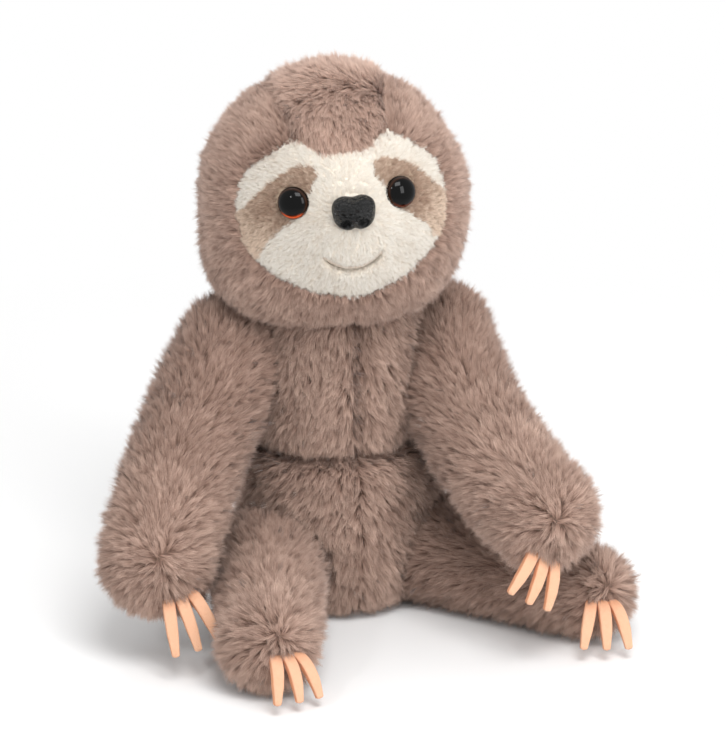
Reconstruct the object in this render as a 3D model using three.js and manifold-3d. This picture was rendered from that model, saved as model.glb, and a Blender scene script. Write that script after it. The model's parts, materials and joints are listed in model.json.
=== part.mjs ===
// A seated plush sloth: panels of long-pile plush sewn over loose fibre stuffing, a short-pile face
// with locked safety eyes and nose, felt claws, and a bag of plastic beads low in the seat.
// Millimetres, +Z up. The origin is the middle of the flat seat; the toy faces -Y, its left is +X.
// Every stuffed form is given at the height of its packed pile, without the loose tips of the fur.

import * as THREE from "three";
import Module from "manifold-3d";

const wasm = await Module();
wasm.setup();

// Cloth, seams and running gaps
const PLUSH_WALL = 3.2; // backing and packed root of the long pile
const FACE_WALL = 1.6; // short-pile face cloth
const SEAM_GAP = 0.35; // between two pieces that are sewn or seated together
const SWING_GAP = 1.4; // hollow left in the body round a limb, over the limb's facets
const FACET_SAG = 0.7; // room for the flats of a faceted ball turning in a faceted hollow
const FLOOR_PRESS = 0.5; // how deep a round form is pressed flat where it rests
const OVERRUN = 8; // how far a cutting solid runs past what it cuts
const WELD = 0.001; // corners closer than this are one corner

// Body
const BODY_HEIGHT = 143; // seat to the top of the stuffed body, inside the head
const BODY_RADIUS = 41;
const BODY_FLATTEN = 1.5; // the body is this much less deep than wide, each side
const WAIST_HEIGHT = 70.5;
const NECK_RADIUS = 20; // opening in the underside of the hood
const BEAD_BAG_RADIUS = 14.5;
const BEAD_BAG_BACK = 12.5; // the bag lies behind the hips
const BEAD_BAG_HEIGHT = 15;
const beadBagEdgeShares = [
  // the round edge: how far in and how far down from the top, shares of half the bag's height
  [0.9, 2],
  [0, 1.2],
  [0.4, 0.35],
  [1, 0],
];
const bodyOutlineShares = [
  // share of the radius, share of the height, from the seat up
  [0.62, 0.0],
  [0.88, 0.055],
  [0.99, 0.15],
  [1.0, 0.25],
  [0.975, 0.36],
  [0.925, 0.445],
  [0.865, 0.493],
  [0.91, 0.545],
  [0.94, 0.65],
  [0.935, 0.75],
  [0.9, 0.86],
  [0.8, 0.965],
];

// Head
const HEAD_RADIUS = 53.3;
const HEAD_RISE = 32.5; // head centre above the top of the stuffed body
const HEAD_FORWARD = 5;
const HEAD_TURN_DEGREES = -12.2; // the head looks to the toy's right at rest
const HEAD_TILT_DEGREES = -4.5; // and its face leans over to the same side
const CROWN_POWER = 2; // the upper half is a ball
const JAW_POWER = 2.7; // the lower half is squarer than a ball
const MUZZLE_PROUD = 5;
const muzzleAimShares = [0, -1, -0.1];
const MUZZLE_TIGHTNESS = 13; // power of the cosine: the larger, the narrower the muzzle
const FACE_SINK = PLUSH_WALL - FACE_WALL; // the face cloth lies under the pile of the hood
const faceOutlineShares = [
  // half of the outline, shares of the head's radius, from the forehead round to the chin
  [0.0, 0.5],
  [0.17, 0.505],
  [0.335, 0.59],
  [0.5, 0.515],
  [0.655, 0.375],
  [0.755, 0.2],
  [0.775, -0.02],
  [0.72, -0.2],
  [0.6, -0.36],
  [0.44, -0.475],
  [0.23, -0.565],
  [0.0, -0.61],
];
const patchOutlineShares = [
  // the eye patch on the toy's left, shares of the head's radius
  [0.2, 0.37],
  [0.255, 0.43],
  [0.365, 0.43],
  [0.49, 0.36],
  [0.63, 0.25],
  [0.86, 0.05],
  [0.86, -0.24],
  [0.65, -0.28],
  [0.57, -0.1],
  [0.46, 0.0],
  [0.345, 0.075],
  [0.265, 0.22],
];
const gussetFanShares = [
  // degrees from straight ahead up over the crown, and half width as a share of the head's radius
  { degrees: 20, halfShare: 0.37 },
  { degrees: 45, halfShare: 0.38 },
  { degrees: 65, halfShare: 0.41 },
  { degrees: 90, halfShare: 0.47 },
  { degrees: 120, halfShare: 0.45 },
  { degrees: 150, halfShare: 0.37 },
  { degrees: 180, halfShare: 0.27 },
  { degrees: 205, halfShare: 0.15 },
];

// Eyes, nose and smile
const EYE_RADIUS = 6.4;
const EYE_DOME = 4.6;
const EYE_SEAT = 0.9; // how deep the back of the eye sinks into the pile
const EYE_ACROSS = 21;
const EYE_UP = 10.3;
const eyeAimShares = [0.34, -0.93, 0.14];
const SHANK_RADIUS = 2.2;
const SHANK_LENGTH = 11;
const WASHER_RADIUS = 6.5;
const WASHER_THICK = 1.6;
const NOSE_HALF_WIDTH = 8.7;
const NOSE_HALF_HEIGHT = 7.2;
const NOSE_DEPTH = 6.2;
const NOSE_UP = 6;
const NOSE_SEAT = 1.0;
const NOSE_TAPER_SHARE = 0.2; // how much narrower the nose is at its foot
const NOSE_REAR_SHARE = 0.9; // size of the flat back beside the widest section
const NOSE_RIM_SHARE = 0.3; // depth at which the nose is widest
const NOSE_SQUARE_POWER = 0.75; // below 1, the section is squarer than an ellipse
const SMILE_HALF_WIDTH = 11.2;
const SMILE_UP = -12.7;
const SMILE_DROP = 5;
const THREAD_RADIUS = 0.55;
const STITCHES = 6;

// Limbs
const LIMB_BULGE_SHARE = 0.62; // where along the limb its middle radius lies
const LIMB_MOUTH_RADIUS = 11; // the open end through which a limb is stuffed, then sewn to the body
const SHOULDER_PROUD = 1; // shoulder centre outside the body's radius
const SHOULDER_DROP = 36; // below the neck
const SHOULDER_RADIUS = 22;
const FOREARM_RADIUS = 24.4;
const HAND_RADIUS = 20.5;
const HIP_ACROSS = 33;
const HIP_FRONT = 12;
const THIGH_RADIUS = 22.5;
const SHIN_RADIUS = 20;
const FOOT_RADIUS = 19.6;
const armRight = {
  bend: { out: 37, front: 21, down: 36.5 },
  reach: { out: 46, front: 46, down: 72.5 },
  clawAimShares: [0.03, -0.98, -0.13],
  clawDroopShares: [0.2, -0.3, -0.93],
  swingDegrees: 56,
};
const armLeft = {
  bend: { out: -1, front: 45, down: 30 },
  reach: { out: 17, front: 86, down: 51.5 },
  clawAimShares: [-0.32, -0.8, -0.5],
  clawDroopShares: [-0.5, -0.12, -0.86],
  swingDegrees: 38,
};
const legRight = {
  bend: { out: 9, front: 38 },
  reach: { out: 23.5, front: 76.5 },
  clawAimShares: [0.2, -0.97, 0.02],
  clawDroopShares: [0.02, -0.3, -0.95],
  swingDegrees: 14,
};
const legLeft = {
  bend: { out: 24, front: 34 },
  reach: { out: 52, front: 66 },
  clawAimShares: [-0.16, -0.98, 0.05],
  clawDroopShares: [-0.1, -0.3, -0.94],
  swingDegrees: 14,
};

// Felt claws
const CLAW_WIDTH = 5;
const CLAW_THICK = 3.1;
const CLAW_ROOT = 4.6; // length sewn into the seam of the paw
const CLAW_KNUCKLE = 5;
const HAND_CLAW_DROP = 18;
const FOOT_CLAW_DROP = 15;
const CLAW_PITCH = 5.9;
const CLAW_SPREAD = 2.4; // how much further apart the tips are than the roots
const clawTaperShares = [0.88, 1.0, 1.0, 0.92, 0.6];
const clawSectionShares = [
  // the square-cut felt with its edges worn a little, shares of half the width and thickness
  [1, -0.55],
  [1, 0.55],
  [0.7, 1],
  [-0.7, 1],
  [-1, 0.55],
  [-1, -0.55],
  [-0.7, -1],
  [0.7, -1],
];

// Facets
const HEAD_SIDES = 32;
const HEAD_ROWS = 16;
const LINING_SIDES = 16;
const LINING_ROWS = 9;
const BODY_SIDES = 26;
const BODY_ROWS = 15;
const LIMB_SIDES = 16;
const LIMB_STEPS = 6;
const LIMB_LINING_SIDES = 10;
const LIMB_LINING_STEPS = 3;
const CAP_ROWS = 3;
const CUTTER_SIDES = 12;
const CUTTER_STEPS = 3;
const HOLLOW_SIDES = 8;
const SWING_STEP_DEGREES = 28;
const SMALL_SIDES = 12;
const EYE_STEPS = 4;
const NOSE_SIDES = 16;
const NOSE_ROWS = 5;
const THREAD_SIDES = 6;
const THREAD_STEPS = 12;
const FACE_OUTLINE_POINTS = 34;
const PATCH_OUTLINE_POINTS = 20;
const SOLVING_PASSES = 20;

const finish = (colour, roughness) =>
  new THREE.MeshStandardMaterial({ color: colour, roughness, metalness: 0 });
const longPlush = finish(0xa98f83, 0.95);
const facePlush = finish(0xf1e6da, 0.95);
const patchPlush = finish(0xa58d7c, 0.95);
const stuffing = finish(0xf4f3ef, 1);
const beadCloth = finish(0xdcd6c8, 0.9);
const claws = finish(0xf0bd98, 0.9);
const glossBlack = finish(0x17100d, 0.08);
const noseBlack = finish(0x121212, 0.3);
const washerPlastic = finish(0xe9e9e6, 0.45);
const smileThread = finish(0xc9b3a2, 0.8);

const toy = new THREE.Group();
const head = new THREE.Group();
toy.add(head);

const X_AXIS = new THREE.Vector3(1, 0, 0);
const Y_AXIS = new THREE.Vector3(0, 1, 0);
const Z_AXIS = new THREE.Vector3(0, 0, 1);
const directionOf = (shares) => new THREE.Vector3(...shares).normalize();
const radians = THREE.MathUtils.degToRad;

// Turns positions and triangles into a solid that can be cut and joined.
function solid(positions, triangles) {
  return new wasm.Manifold(
    new wasm.Mesh({
      numProp: 3,
      vertProperties: new Float32Array(positions),
      triVerts: new Uint32Array(triangles),
    }),
  );
}

// Closes a row of rings into one solid. Each ring turns anticlockwise seen against the way the
// rings run, and every ring has as many points as the first; the two poles close the ends.
function loft(startPole, rings, endPole) {
  const sides = rings[0].length;
  const points = [startPole, ...rings.flat(), endPole];
  const triangles = [];
  const at = (ring, side) => 1 + ring * sides + (side % sides);
  const last = rings.length - 1;
  for (let side = 0; side < sides; side += 1) {
    triangles.push(0, at(0, side + 1), at(0, side));
    triangles.push(points.length - 1, at(last, side), at(last, side + 1));
    for (let ring = 0; ring < last; ring += 1) {
      triangles.push(at(ring, side), at(ring, side + 1), at(ring + 1, side + 1));
      triangles.push(at(ring, side), at(ring + 1, side + 1), at(ring + 1, side));
    }
  }
  return solid(points.flatMap((point) => point.toArray()), triangles);
}

// Welds a three.js geometry by position and makes it a solid.
function solidOfGeometry(geometry, matrix = new THREE.Matrix4()) {
  const placed = geometry.clone().applyMatrix4(matrix);
  const source = placed.index ? placed.toNonIndexed() : placed;
  const corners = source.getAttribute("position");
  const known = new Map();
  const positions = [];
  const triangles = [];
  for (let i = 0; i < corners.count; i += 1) {
    const corner = [corners.getX(i), corners.getY(i), corners.getZ(i)];
    const key = corner.map((value) => Math.round(value / WELD)).join();
    if (!known.has(key)) {
      known.set(key, known.size);
      positions.push(...corner);
    }
    triangles.push(known.get(key));
  }
  const kept = [];
  for (let i = 0; i < triangles.length; i += 3) {
    const [a, b, c] = triangles.slice(i, i + 3);
    if (a !== b && b !== c && a !== c) kept.push(a, b, c);
  }
  return solid(positions, kept);
}

// A box from its low corner to its high corner.
function block(low, high) {
  const size = high.clone().sub(low);
  const middle = low.clone().add(high).multiplyScalar(0.5);
  return solidOfGeometry(
    new THREE.BoxGeometry(size.x, size.y, size.z),
    new THREE.Matrix4().setPosition(middle),
  );
}

function addPiece(group, name, made, material) {
  const mesh = made.getMesh();
  const geometry = new THREE.BufferGeometry();
  geometry.setAttribute("position", new THREE.BufferAttribute(mesh.vertProperties, mesh.numProp));
  geometry.setIndex(new THREE.BufferAttribute(mesh.triVerts, 1));
  geometry.computeVertexNormals();
  const piece = new THREE.Mesh(geometry, material);
  piece.name = name;
  group.add(piece);
  return piece;
}

const ROOM = 2 * (BODY_HEIGHT + HEAD_RADIUS);
const floorCutter = block(
  new THREE.Vector3(-ROOM, -ROOM, -ROOM),
  new THREE.Vector3(ROOM, ROOM, 0),
);

// The largest body of a solid: crumbs that the hollows cut loose are left out.
function largestBody(made) {
  return made.decompose().reduce((kept, body) => (body.volume() > kept.volume() ? body : kept));
}

// A solid that cuts straight back through the face along Y: the outline lies in the XZ plane of
// the head and runs from the head's middle out past its front.
function faceCutter(points) {
  const depth = HEAD_RADIUS + MUZZLE_PROUD + OVERRUN;
  const geometry = new THREE.ExtrudeGeometry(new THREE.Shape(points), {
    depth,
    bevelEnabled: false,
  });
  return solidOfGeometry(geometry, new THREE.Matrix4().makeRotationX(Math.PI / 2));
}

// Moves an outline's points outwards by a margin, square to the line through their neighbours.
function grow(points, margin) {
  return points.map((point, i) => {
    const before = points[(i + points.length - 1) % points.length];
    const after = points[(i + 1) % points.length];
    const along = after.clone().sub(before).normalize();
    return new THREE.Vector2(point.x + along.y * margin, point.y - along.x * margin);
  });
}

// Evenly resamples a closed curve through the given points, anticlockwise.
function smoothOutline(points, count) {
  const curve = new THREE.SplineCurve([...points, points[0].clone()]);
  const drawn = curve.getSpacedPoints(count).slice(0, count);
  return THREE.ShapeUtils.isClockWise(drawn) ? drawn.reverse() : drawn;
}

// The head: a ball with a muzzle, whose radius in a direction is the ball's radius plus the
// muzzle's height times a power of the cosine to the muzzle's aim. The jaw hangs straight down
// while the face leans, so the ball's shape follows the upright direction.
const muzzleAim = directionOf(muzzleAimShares);
function headRadiusAt(direction, inset, muzzle = MUZZLE_PROUD) {
  const upright = direction.clone().applyAxisAngle(Y_AXIS, radians(HEAD_TILT_DEGREES));
  const power = upright.z < 0 ? JAW_POWER : CROWN_POWER;
  const level = Math.hypot(upright.x, upright.y);
  const squared = Math.pow(level, power) + Math.pow(Math.abs(upright.z), power);
  const towards = Math.max(0, direction.dot(muzzleAim));
  const ball = HEAD_RADIUS * Math.pow(squared, -1 / power);
  return ball - inset + muzzle * Math.pow(towards, MUZZLE_TIGHTNESS);
}

function headForm(inset, sides, rows, muzzle = MUZZLE_PROUD) {
  const rings = [];
  for (let row = 1; row < rows; row += 1) {
    const polar = Math.PI * (1 - row / rows);
    const ring = [];
    for (let side = 0; side < sides; side += 1) {
      const turn = (2 * Math.PI * side) / sides;
      const direction = new THREE.Vector3(
        Math.sin(polar) * Math.cos(turn),
        Math.sin(polar) * Math.sin(turn),
        Math.cos(polar),
      );
      ring.push(direction.clone().multiplyScalar(headRadiusAt(direction, inset, muzzle)));
    }
    rings.push(ring);
  }
  const pole = (way) => way.clone().multiplyScalar(headRadiusAt(way, inset, muzzle));
  return loft(pole(Z_AXIS.clone().negate()), rings, pole(Z_AXIS));
}

// The point of the face cloth in front of a place across and up on the face.
function onFace(across, up) {
  let forward = HEAD_RADIUS;
  for (let pass = 0; pass < SOLVING_PASSES; pass += 1) {
    const direction = new THREE.Vector3(across, -forward, up).normalize();
    const radius = headRadiusAt(direction, FACE_SINK);
    forward = Math.sqrt(Math.max(0, radius * radius - across * across - up * up));
  }
  return new THREE.Vector3(across, -forward, up);
}

// The gusset's cutting solid: a fan of bars about the X axis, each as wide as the gusset there.
function gussetCutter(margin) {
  const inner = HEAD_RADIUS / 2;
  const outer = HEAD_RADIUS + MUZZLE_PROUD + OVERRUN;
  const rings = gussetFanShares.map(({ degrees, halfShare }) => {
    const half = halfShare * HEAD_RADIUS + margin;
    const turn = radians(degrees);
    const out = new THREE.Vector3(0, -Math.cos(turn), Math.sin(turn));
    const corner = (across, reach) => out.clone().multiplyScalar(reach).setX(across);
    return [corner(-half, inner), corner(-half, outer), corner(half, outer), corner(half, inner)];
  });
  const centre = (ring) =>
    ring.reduce((sum, point) => sum.add(point), new THREE.Vector3()).divideScalar(ring.length);
  return loft(centre(rings[0]), rings, centre(rings[rings.length - 1]));
}

// A body of revolution along an axis: the profile lists [radius, distance along the axis].
function turned(profile, sides, origin, aim) {
  const points = profile.map(([radius, along]) => new THREE.Vector2(radius, along));
  const turnTo = new THREE.Quaternion().setFromUnitVectors(Y_AXIS, aim);
  const matrix = new THREE.Matrix4().compose(origin, turnTo, new THREE.Vector3(1, 1, 1));
  return solidOfGeometry(new THREE.LatheGeometry(points, sides), matrix);
}

// Safety eye: a dome with its back plane at zero and a shank behind it. A margin makes the
// solid that hollows the cloth and the stuffing for it.
function eyeProfile(margin) {
  const dome = [];
  for (let step = 1; step < EYE_STEPS; step += 1) {
    const turn = (Math.PI / 2) * (step / EYE_STEPS);
    dome.push([(EYE_RADIUS + margin) * Math.cos(turn), (EYE_DOME + margin) * Math.sin(turn)]);
  }
  return [
    [0, -SHANK_LENGTH - margin],
    [SHANK_RADIUS + margin, -SHANK_LENGTH - margin],
    [SHANK_RADIUS + margin, -margin],
    [EYE_RADIUS + margin, -margin],
    ...dome,
    [0, EYE_DOME + margin],
  ];
}

// Lock washer: a ring pressed on the shank, tight behind the cloth.
function washer(margin, origin, aim) {
  const back = -(FACE_WALL + SEAM_GAP + EYE_SEAT + WASHER_THICK);
  const front = back + WASHER_THICK;
  const bore = SHANK_RADIUS + SEAM_GAP - margin;
  return turned(
    [
      [bore, back - margin],
      [WASHER_RADIUS + margin, back - margin],
      [WASHER_RADIUS + margin, front + margin],
      [bore, front + margin],
      [bore, back - margin],
    ],
    SMALL_SIDES,
    origin,
    aim,
  );
}

// Nose: rounded trapezoid sections, full behind and domed in front, on a shank like the eyes'.
function noseSolid(origin, margin) {
  const boxy = (value) => Math.sign(value) * Math.pow(Math.abs(value), NOSE_SQUARE_POWER);
  const section = (size, forward) => {
    const ring = [];
    for (let side = 0; side < NOSE_SIDES; side += 1) {
      const turn = (2 * Math.PI * side) / NOSE_SIDES;
      const up = boxy(Math.sin(turn));
      const taper = 1 - (NOSE_TAPER_SHARE * (1 - up)) / 2;
      ring.push(
        new THREE.Vector3(
          boxy(Math.cos(turn)) * (NOSE_HALF_WIDTH * size + margin) * taper,
          -forward,
          up * (NOSE_HALF_HEIGHT * size + margin),
        ).add(origin),
      );
    }
    return ring;
  };
  const rings = [section(NOSE_REAR_SHARE, -margin)];
  for (let row = 0; row < NOSE_ROWS; row += 1) {
    const turn = (Math.PI / 2) * (row / NOSE_ROWS);
    const depthShare = NOSE_RIM_SHARE + (1 - NOSE_RIM_SHARE) * Math.sin(turn);
    rings.push(section(Math.cos(turn), NOSE_DEPTH * depthShare + margin));
  }
  const pole = (forward) => new THREE.Vector3(0, -forward, 0).add(origin);
  const shell = loft(pole(-margin), rings, pole(NOSE_DEPTH + margin));
  const shank = turned(
    [
      [0, -SHANK_LENGTH - margin],
      [SHANK_RADIUS + margin, -SHANK_LENGTH - margin],
      [SHANK_RADIUS + margin, NOSE_DEPTH / 2],
      [0, NOSE_DEPTH / 2],
    ],
    SMALL_SIDES,
    origin,
    Y_AXIS.clone().negate(),
  );
  return shell.add(shank);
}

// A thread of round section laid along points.
function thread(points, radius) {
  const curve = new THREE.CatmullRomCurve3(points);
  const rings = [];
  for (let step = 0; step <= THREAD_STEPS; step += 1) {
    const along = step / THREAD_STEPS;
    const middle = curve.getPointAt(along);
    const tangent = curve.getTangentAt(along);
    rings.push(ringAbout(middle, tangent, Z_AXIS, THREAD_SIDES, radius, radius));
  }
  return loft(curve.getPointAt(0), rings, curve.getPointAt(1));
}

// An elliptical ring square to a tangent: one half size along the guide, the other across it.
function ringAbout(middle, tangent, guide, sides, alongGuide, acrossGuide) {
  const first = guide.clone().addScaledVector(tangent, -guide.dot(tangent)).normalize();
  const second = tangent.clone().cross(first);
  const ring = [];
  for (let side = 0; side < sides; side += 1) {
    const turn = (2 * Math.PI * side) / sides;
    ring.push(
      middle
        .clone()
        .addScaledVector(first, alongGuide * Math.cos(turn))
        .addScaledVector(second, acrossGuide * Math.sin(turn)),
    );
  }
  return ring;
}

function buildHead() {
  const outer = headForm(0, HEAD_SIDES, HEAD_ROWS);
  const lining = headForm(PLUSH_WALL, LINING_SIDES, LINING_ROWS);
  const faceOuter = headForm(FACE_SINK, HEAD_SIDES, HEAD_ROWS);
  const half = faceOutlineShares.map(
    ([across, up]) => new THREE.Vector2(across * HEAD_RADIUS, up * HEAD_RADIUS),
  );
  const mirrored = half.slice(1, -1).reverse().map((point) => new THREE.Vector2(-point.x, point.y));
  const faceOutline = smoothOutline([...half, ...mirrored], FACE_OUTLINE_POINTS);
  const faceHole = faceCutter(faceOutline);
  const facePlug = faceCutter(grow(faceOutline, -SEAM_GAP));
  const patchPoints = patchOutlineShares.map(
    ([across, up]) => new THREE.Vector2(across * HEAD_RADIUS, up * HEAD_RADIUS),
  );
  const neck = turned(
    [
      [0, 0],
      [NECK_RADIUS, 0],
      [NECK_RADIUS, HEAD_RADIUS + OVERRUN],
      [0, HEAD_RADIUS + OVERRUN],
    ],
    LINING_SIDES,
    new THREE.Vector3(),
    Z_AXIS.clone().negate(),
  );
  const hood = outer.subtract(lining).subtract(faceHole).subtract(neck);
  addPiece(head, "head_gusset", hood.intersect(gussetCutter(-SEAM_GAP / 2)), longPlush);
  const sides = hood.subtract(gussetCutter(SEAM_GAP / 2));
  for (const [name, sign] of [["left", 1], ["right", -1]]) {
    const reach = HEAD_RADIUS + OVERRUN;
    const near = (sign * SEAM_GAP) / 2;
    const halfRoom = block(
      new THREE.Vector3(Math.min(near, sign * reach), -reach, -reach),
      new THREE.Vector3(Math.max(near, sign * reach), reach, reach),
    );
    addPiece(head, "head_side_" + name, sides.intersect(halfRoom), longPlush);
  }

  let filling = headForm(PLUSH_WALL + SEAM_GAP, LINING_SIDES, LINING_ROWS);
  let face = faceOuter.subtract(lining).intersect(facePlug);
  for (const [name, sign] of [["left", 1], ["right", -1]]) {
    const onSide = smoothOutline(
      patchPoints.map((point) => new THREE.Vector2(sign * point.x, point.y)),
      PATCH_OUTLINE_POINTS,
    );
    const aim = directionOf([sign * eyeAimShares[0], eyeAimShares[1], eyeAimShares[2]]);
    const seat = onFace(sign * EYE_ACROSS, EYE_UP).addScaledVector(aim, -EYE_SEAT);
    const hollow = turned(eyeProfile(SEAM_GAP), SMALL_SIDES, seat, aim).add(
      washer(SEAM_GAP, seat, aim),
    );
    face = face.subtract(hollow);
    filling = filling.subtract(hollow);
    const patch = face.intersect(faceCutter(grow(onSide, -SEAM_GAP / 2)));
    face = face.subtract(faceCutter(grow(onSide, SEAM_GAP / 2)));
    addPiece(head, "eye_patch_" + name, largestBody(patch), patchPlush);
    addPiece(head, "eye_" + name, turned(eyeProfile(0), SMALL_SIDES, seat, aim), glossBlack);
    addPiece(head, "eye_washer_" + name, washer(0, seat, aim), washerPlastic);
  }

  const noseSeat = onFace(0, NOSE_UP).addScaledVector(Y_AXIS, NOSE_SEAT);
  const forward = Y_AXIS.clone().negate();
  const noseHollow = noseSolid(noseSeat, SEAM_GAP).add(washer(SEAM_GAP, noseSeat, forward));
  addPiece(head, "face_panel", largestBody(face.subtract(noseHollow)), facePlush);
  addPiece(head, "nose", noseSolid(noseSeat, 0), noseBlack);
  addPiece(head, "nose_washer", washer(0, noseSeat, forward), washerPlastic);
  addPiece(head, "head_filling", largestBody(filling.subtract(noseHollow)), stuffing);

  const smile = [];
  for (let i = 0; i <= STITCHES; i += 1) {
    const across = SMILE_HALF_WIDTH * ((2 * i) / STITCHES - 1);
    const sag = 1 - Math.pow(across / SMILE_HALF_WIDTH, 2);
    const point = onFace(across, SMILE_UP - SMILE_DROP * sag);
    smile.push(point.addScaledVector(point.clone().normalize(), THREAD_RADIUS + SEAM_GAP));
  }
  addPiece(head, "mouth_stitch", thread(smile, THREAD_RADIUS), smileThread);

  head.position.set(0, -HEAD_FORWARD, BODY_HEIGHT + HEAD_RISE);
  head.rotation.set(0, radians(HEAD_TILT_DEGREES), radians(HEAD_TURN_DEGREES), "ZYX");
}

// The body's form: rings whose radius follows the outline, a little flatter front to back.
function bodyForm(inset, sides, rows) {
  const curve = new THREE.SplineCurve(
    bodyOutlineShares.map(
      ([radius, height]) => new THREE.Vector2(radius * BODY_RADIUS, height * BODY_HEIGHT),
    ),
  );
  const rings = [];
  for (let row = 0; row <= rows; row += 1) {
    const point = curve.getPoint(row / rows);
    const height = THREE.MathUtils.clamp(point.y, inset, BODY_HEIGHT - inset);
    const middle = new THREE.Vector3(0, 0, height);
    const wide = point.x - inset;
    rings.push(ringAbout(middle, Z_AXIS, X_AXIS, sides, wide, wide - BODY_FLATTEN));
  }
  return loft(
    new THREE.Vector3(0, 0, inset),
    rings,
    new THREE.Vector3(0, 0, BODY_HEIGHT - inset),
  );
}

// Radius along a limb: full at its root, the middle radius at six tenths, the paw's at its end.
function limbRadiusAt(along, [root, middle, end]) {
  const ease = (share) => THREE.MathUtils.smoothstep(share, 0, 1);
  const past = along - LIMB_BULGE_SHARE;
  if (past < 0) return root + (middle - root) * ease(along / LIMB_BULGE_SHARE);
  return middle + (end - middle) * ease(past / (1 - LIMB_BULGE_SHARE));
}

// A stuffed limb: balls of changing radius along a bent path, closed by half a ball at each end.
function limbForm(limb, inset, sides, steps) {
  const curve = new THREE.QuadraticBezierCurve3(limb.pivot, limb.elbow, limb.paw);
  const rings = [];
  const cap = (middle, tangent, radius, sign) => {
    const rows = [];
    for (let row = 1; row < CAP_ROWS; row += 1) {
      const turn = (Math.PI / 2) * (row / CAP_ROWS);
      const centre = middle
        .clone()
        .addScaledVector(tangent, sign * radius * Math.cos(turn));
      const size = radius * Math.sin(turn);
      rows.push(ringAbout(centre, tangent, limb.guide, sides, size, size));
    }
    return sign > 0 ? rows.reverse() : rows;
  };
  const radiusAt = (along) => limbRadiusAt(along, limb.radii) - inset;
  rings.push(...cap(curve.getPoint(0), curve.getTangent(0), radiusAt(0), -1));
  for (let step = 0; step <= steps; step += 1) {
    const along = step / steps;
    const radius = radiusAt(along);
    const middle = curve.getPoint(along);
    rings.push(ringAbout(middle, curve.getTangent(along), limb.guide, sides, radius, radius));
  }
  rings.push(...cap(curve.getPoint(1), curve.getTangent(1), radiusAt(1), 1));
  const pole = (along, sign) =>
    curve.getPoint(along).addScaledVector(curve.getTangent(along), sign * radiusAt(along));
  return loft(pole(0, -1), rings, pole(1, 1));
}

// Places a limb's elbow and paw from its pivot and its reach. A leg has no height of its own:
// it lies on the floor, so its path falls by what its radius loses.
function settleLimb(name, shape, sign, root) {
  const fall = root.radii[0] - root.radii[2];
  const place = ({ out, front, down = fall }) =>
    root.pivot.clone().add(new THREE.Vector3(sign * out, -front, -down));
  return {
    ...root,
    name,
    elbow: place(shape.bend),
    paw: place(shape.reach),
    aim: directionOf(shape.clawAimShares),
    droop: directionOf(shape.clawDroopShares),
    swingDegrees: shape.swingDegrees,
  };
}

// The room that a limb sweeps in the body: its swollen form at steps across its swing.
function sweptRoom(limb, margin, sides) {
  const form = limbForm(limb, -margin, sides, CUTTER_STEPS);
  const steps = Math.ceil(limb.swingDegrees / SWING_STEP_DEGREES);
  let room = form;
  for (let step = 1; step <= steps; step += 1) {
    const degrees = (limb.swingDegrees * step) / steps;
    const turn = new THREE.Matrix4()
      .makeTranslation(limb.pivot)
      .multiply(new THREE.Matrix4().makeRotationAxis(limb.swingAxis, radians(degrees)))
      .multiply(new THREE.Matrix4().makeTranslation(limb.pivot.clone().negate()));
    room = room.add(form.transform(turn.elements));
  }
  return room;
}

// A claw: a strip of thick felt on a bent path, with square flanks and a blunt round tip.
function clawSolid(limb, index, margin) {
  const side = limb.aim.clone().cross(limb.droop).normalize();
  const rootTurn = (index * CLAW_PITCH) / limb.radii[2];
  const out = limb.aim
    .clone()
    .multiplyScalar(Math.cos(rootTurn))
    .addScaledVector(side, Math.sin(rootTurn));
  const root = limb.paw.clone().addScaledVector(out, limb.radii[2] - CLAW_ROOT - margin);
  const knuckle = limb.paw.clone().addScaledVector(out, limb.radii[2] + CLAW_KNUCKLE);
  const tip = knuckle
    .clone()
    .addScaledVector(limb.droop, limb.clawDrop)
    .addScaledVector(side, index * CLAW_SPREAD);
  const curve = new THREE.QuadraticBezierCurve3(root, knuckle, tip);
  const steps = clawTaperShares.length - 1;
  const rings = clawTaperShares.map((share, step) => {
    const along = step / steps;
    const tangent = curve.getTangent(along);
    const across = side.clone().addScaledVector(tangent, -side.dot(tangent)).normalize();
    const flat = tangent.clone().cross(across);
    const wide = (CLAW_WIDTH / 2) * share + margin;
    const thick = (CLAW_THICK / 2) * share + margin;
    const middle = curve.getPoint(along);
    return clawSectionShares.map(([w, t]) =>
      middle.clone().addScaledVector(across, w * wide).addScaledVector(flat, t * thick),
    );
  });
  return loft(curve.getPoint(0), rings, curve.getPoint(1));
}

// Sews one limb: an open-mouthed cover, its stuffing, and three claws let into the paw.
function buildLimb(limb) {
  const mouthAim = limb.pivot.clone().sub(limb.elbow).normalize();
  const mouth = turned(
    [
      [0, 0],
      [LIMB_MOUTH_RADIUS, 0],
      [LIMB_MOUTH_RADIUS, limb.radii[0] + OVERRUN],
      [0, limb.radii[0] + OVERRUN],
    ],
    SMALL_SIDES,
    limb.pivot,
    mouthAim,
  );
  const lining = limbForm(limb, PLUSH_WALL, LIMB_LINING_SIDES, LIMB_LINING_STEPS);
  let cover = limbForm(limb, 0, LIMB_SIDES, LIMB_STEPS).subtract(lining).subtract(mouth);
  let filling = limbForm(limb, PLUSH_WALL + SEAM_GAP, LIMB_LINING_SIDES, LIMB_LINING_STEPS);
  for (const index of [-1, 0, 1]) {
    const slot = clawSolid(limb, index, SEAM_GAP);
    cover = cover.subtract(slot);
    filling = filling.subtract(slot);
    addPiece(toy, limb.name + "_claw_" + (index + 2), clawSolid(limb, index, 0), claws);
  }
  cover = cover.subtract(floorCutter);
  addPiece(toy, limb.name + "_cover", cover, longPlush);
  addPiece(toy, limb.name + "_filling", largestBody(filling), stuffing);
}

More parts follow.
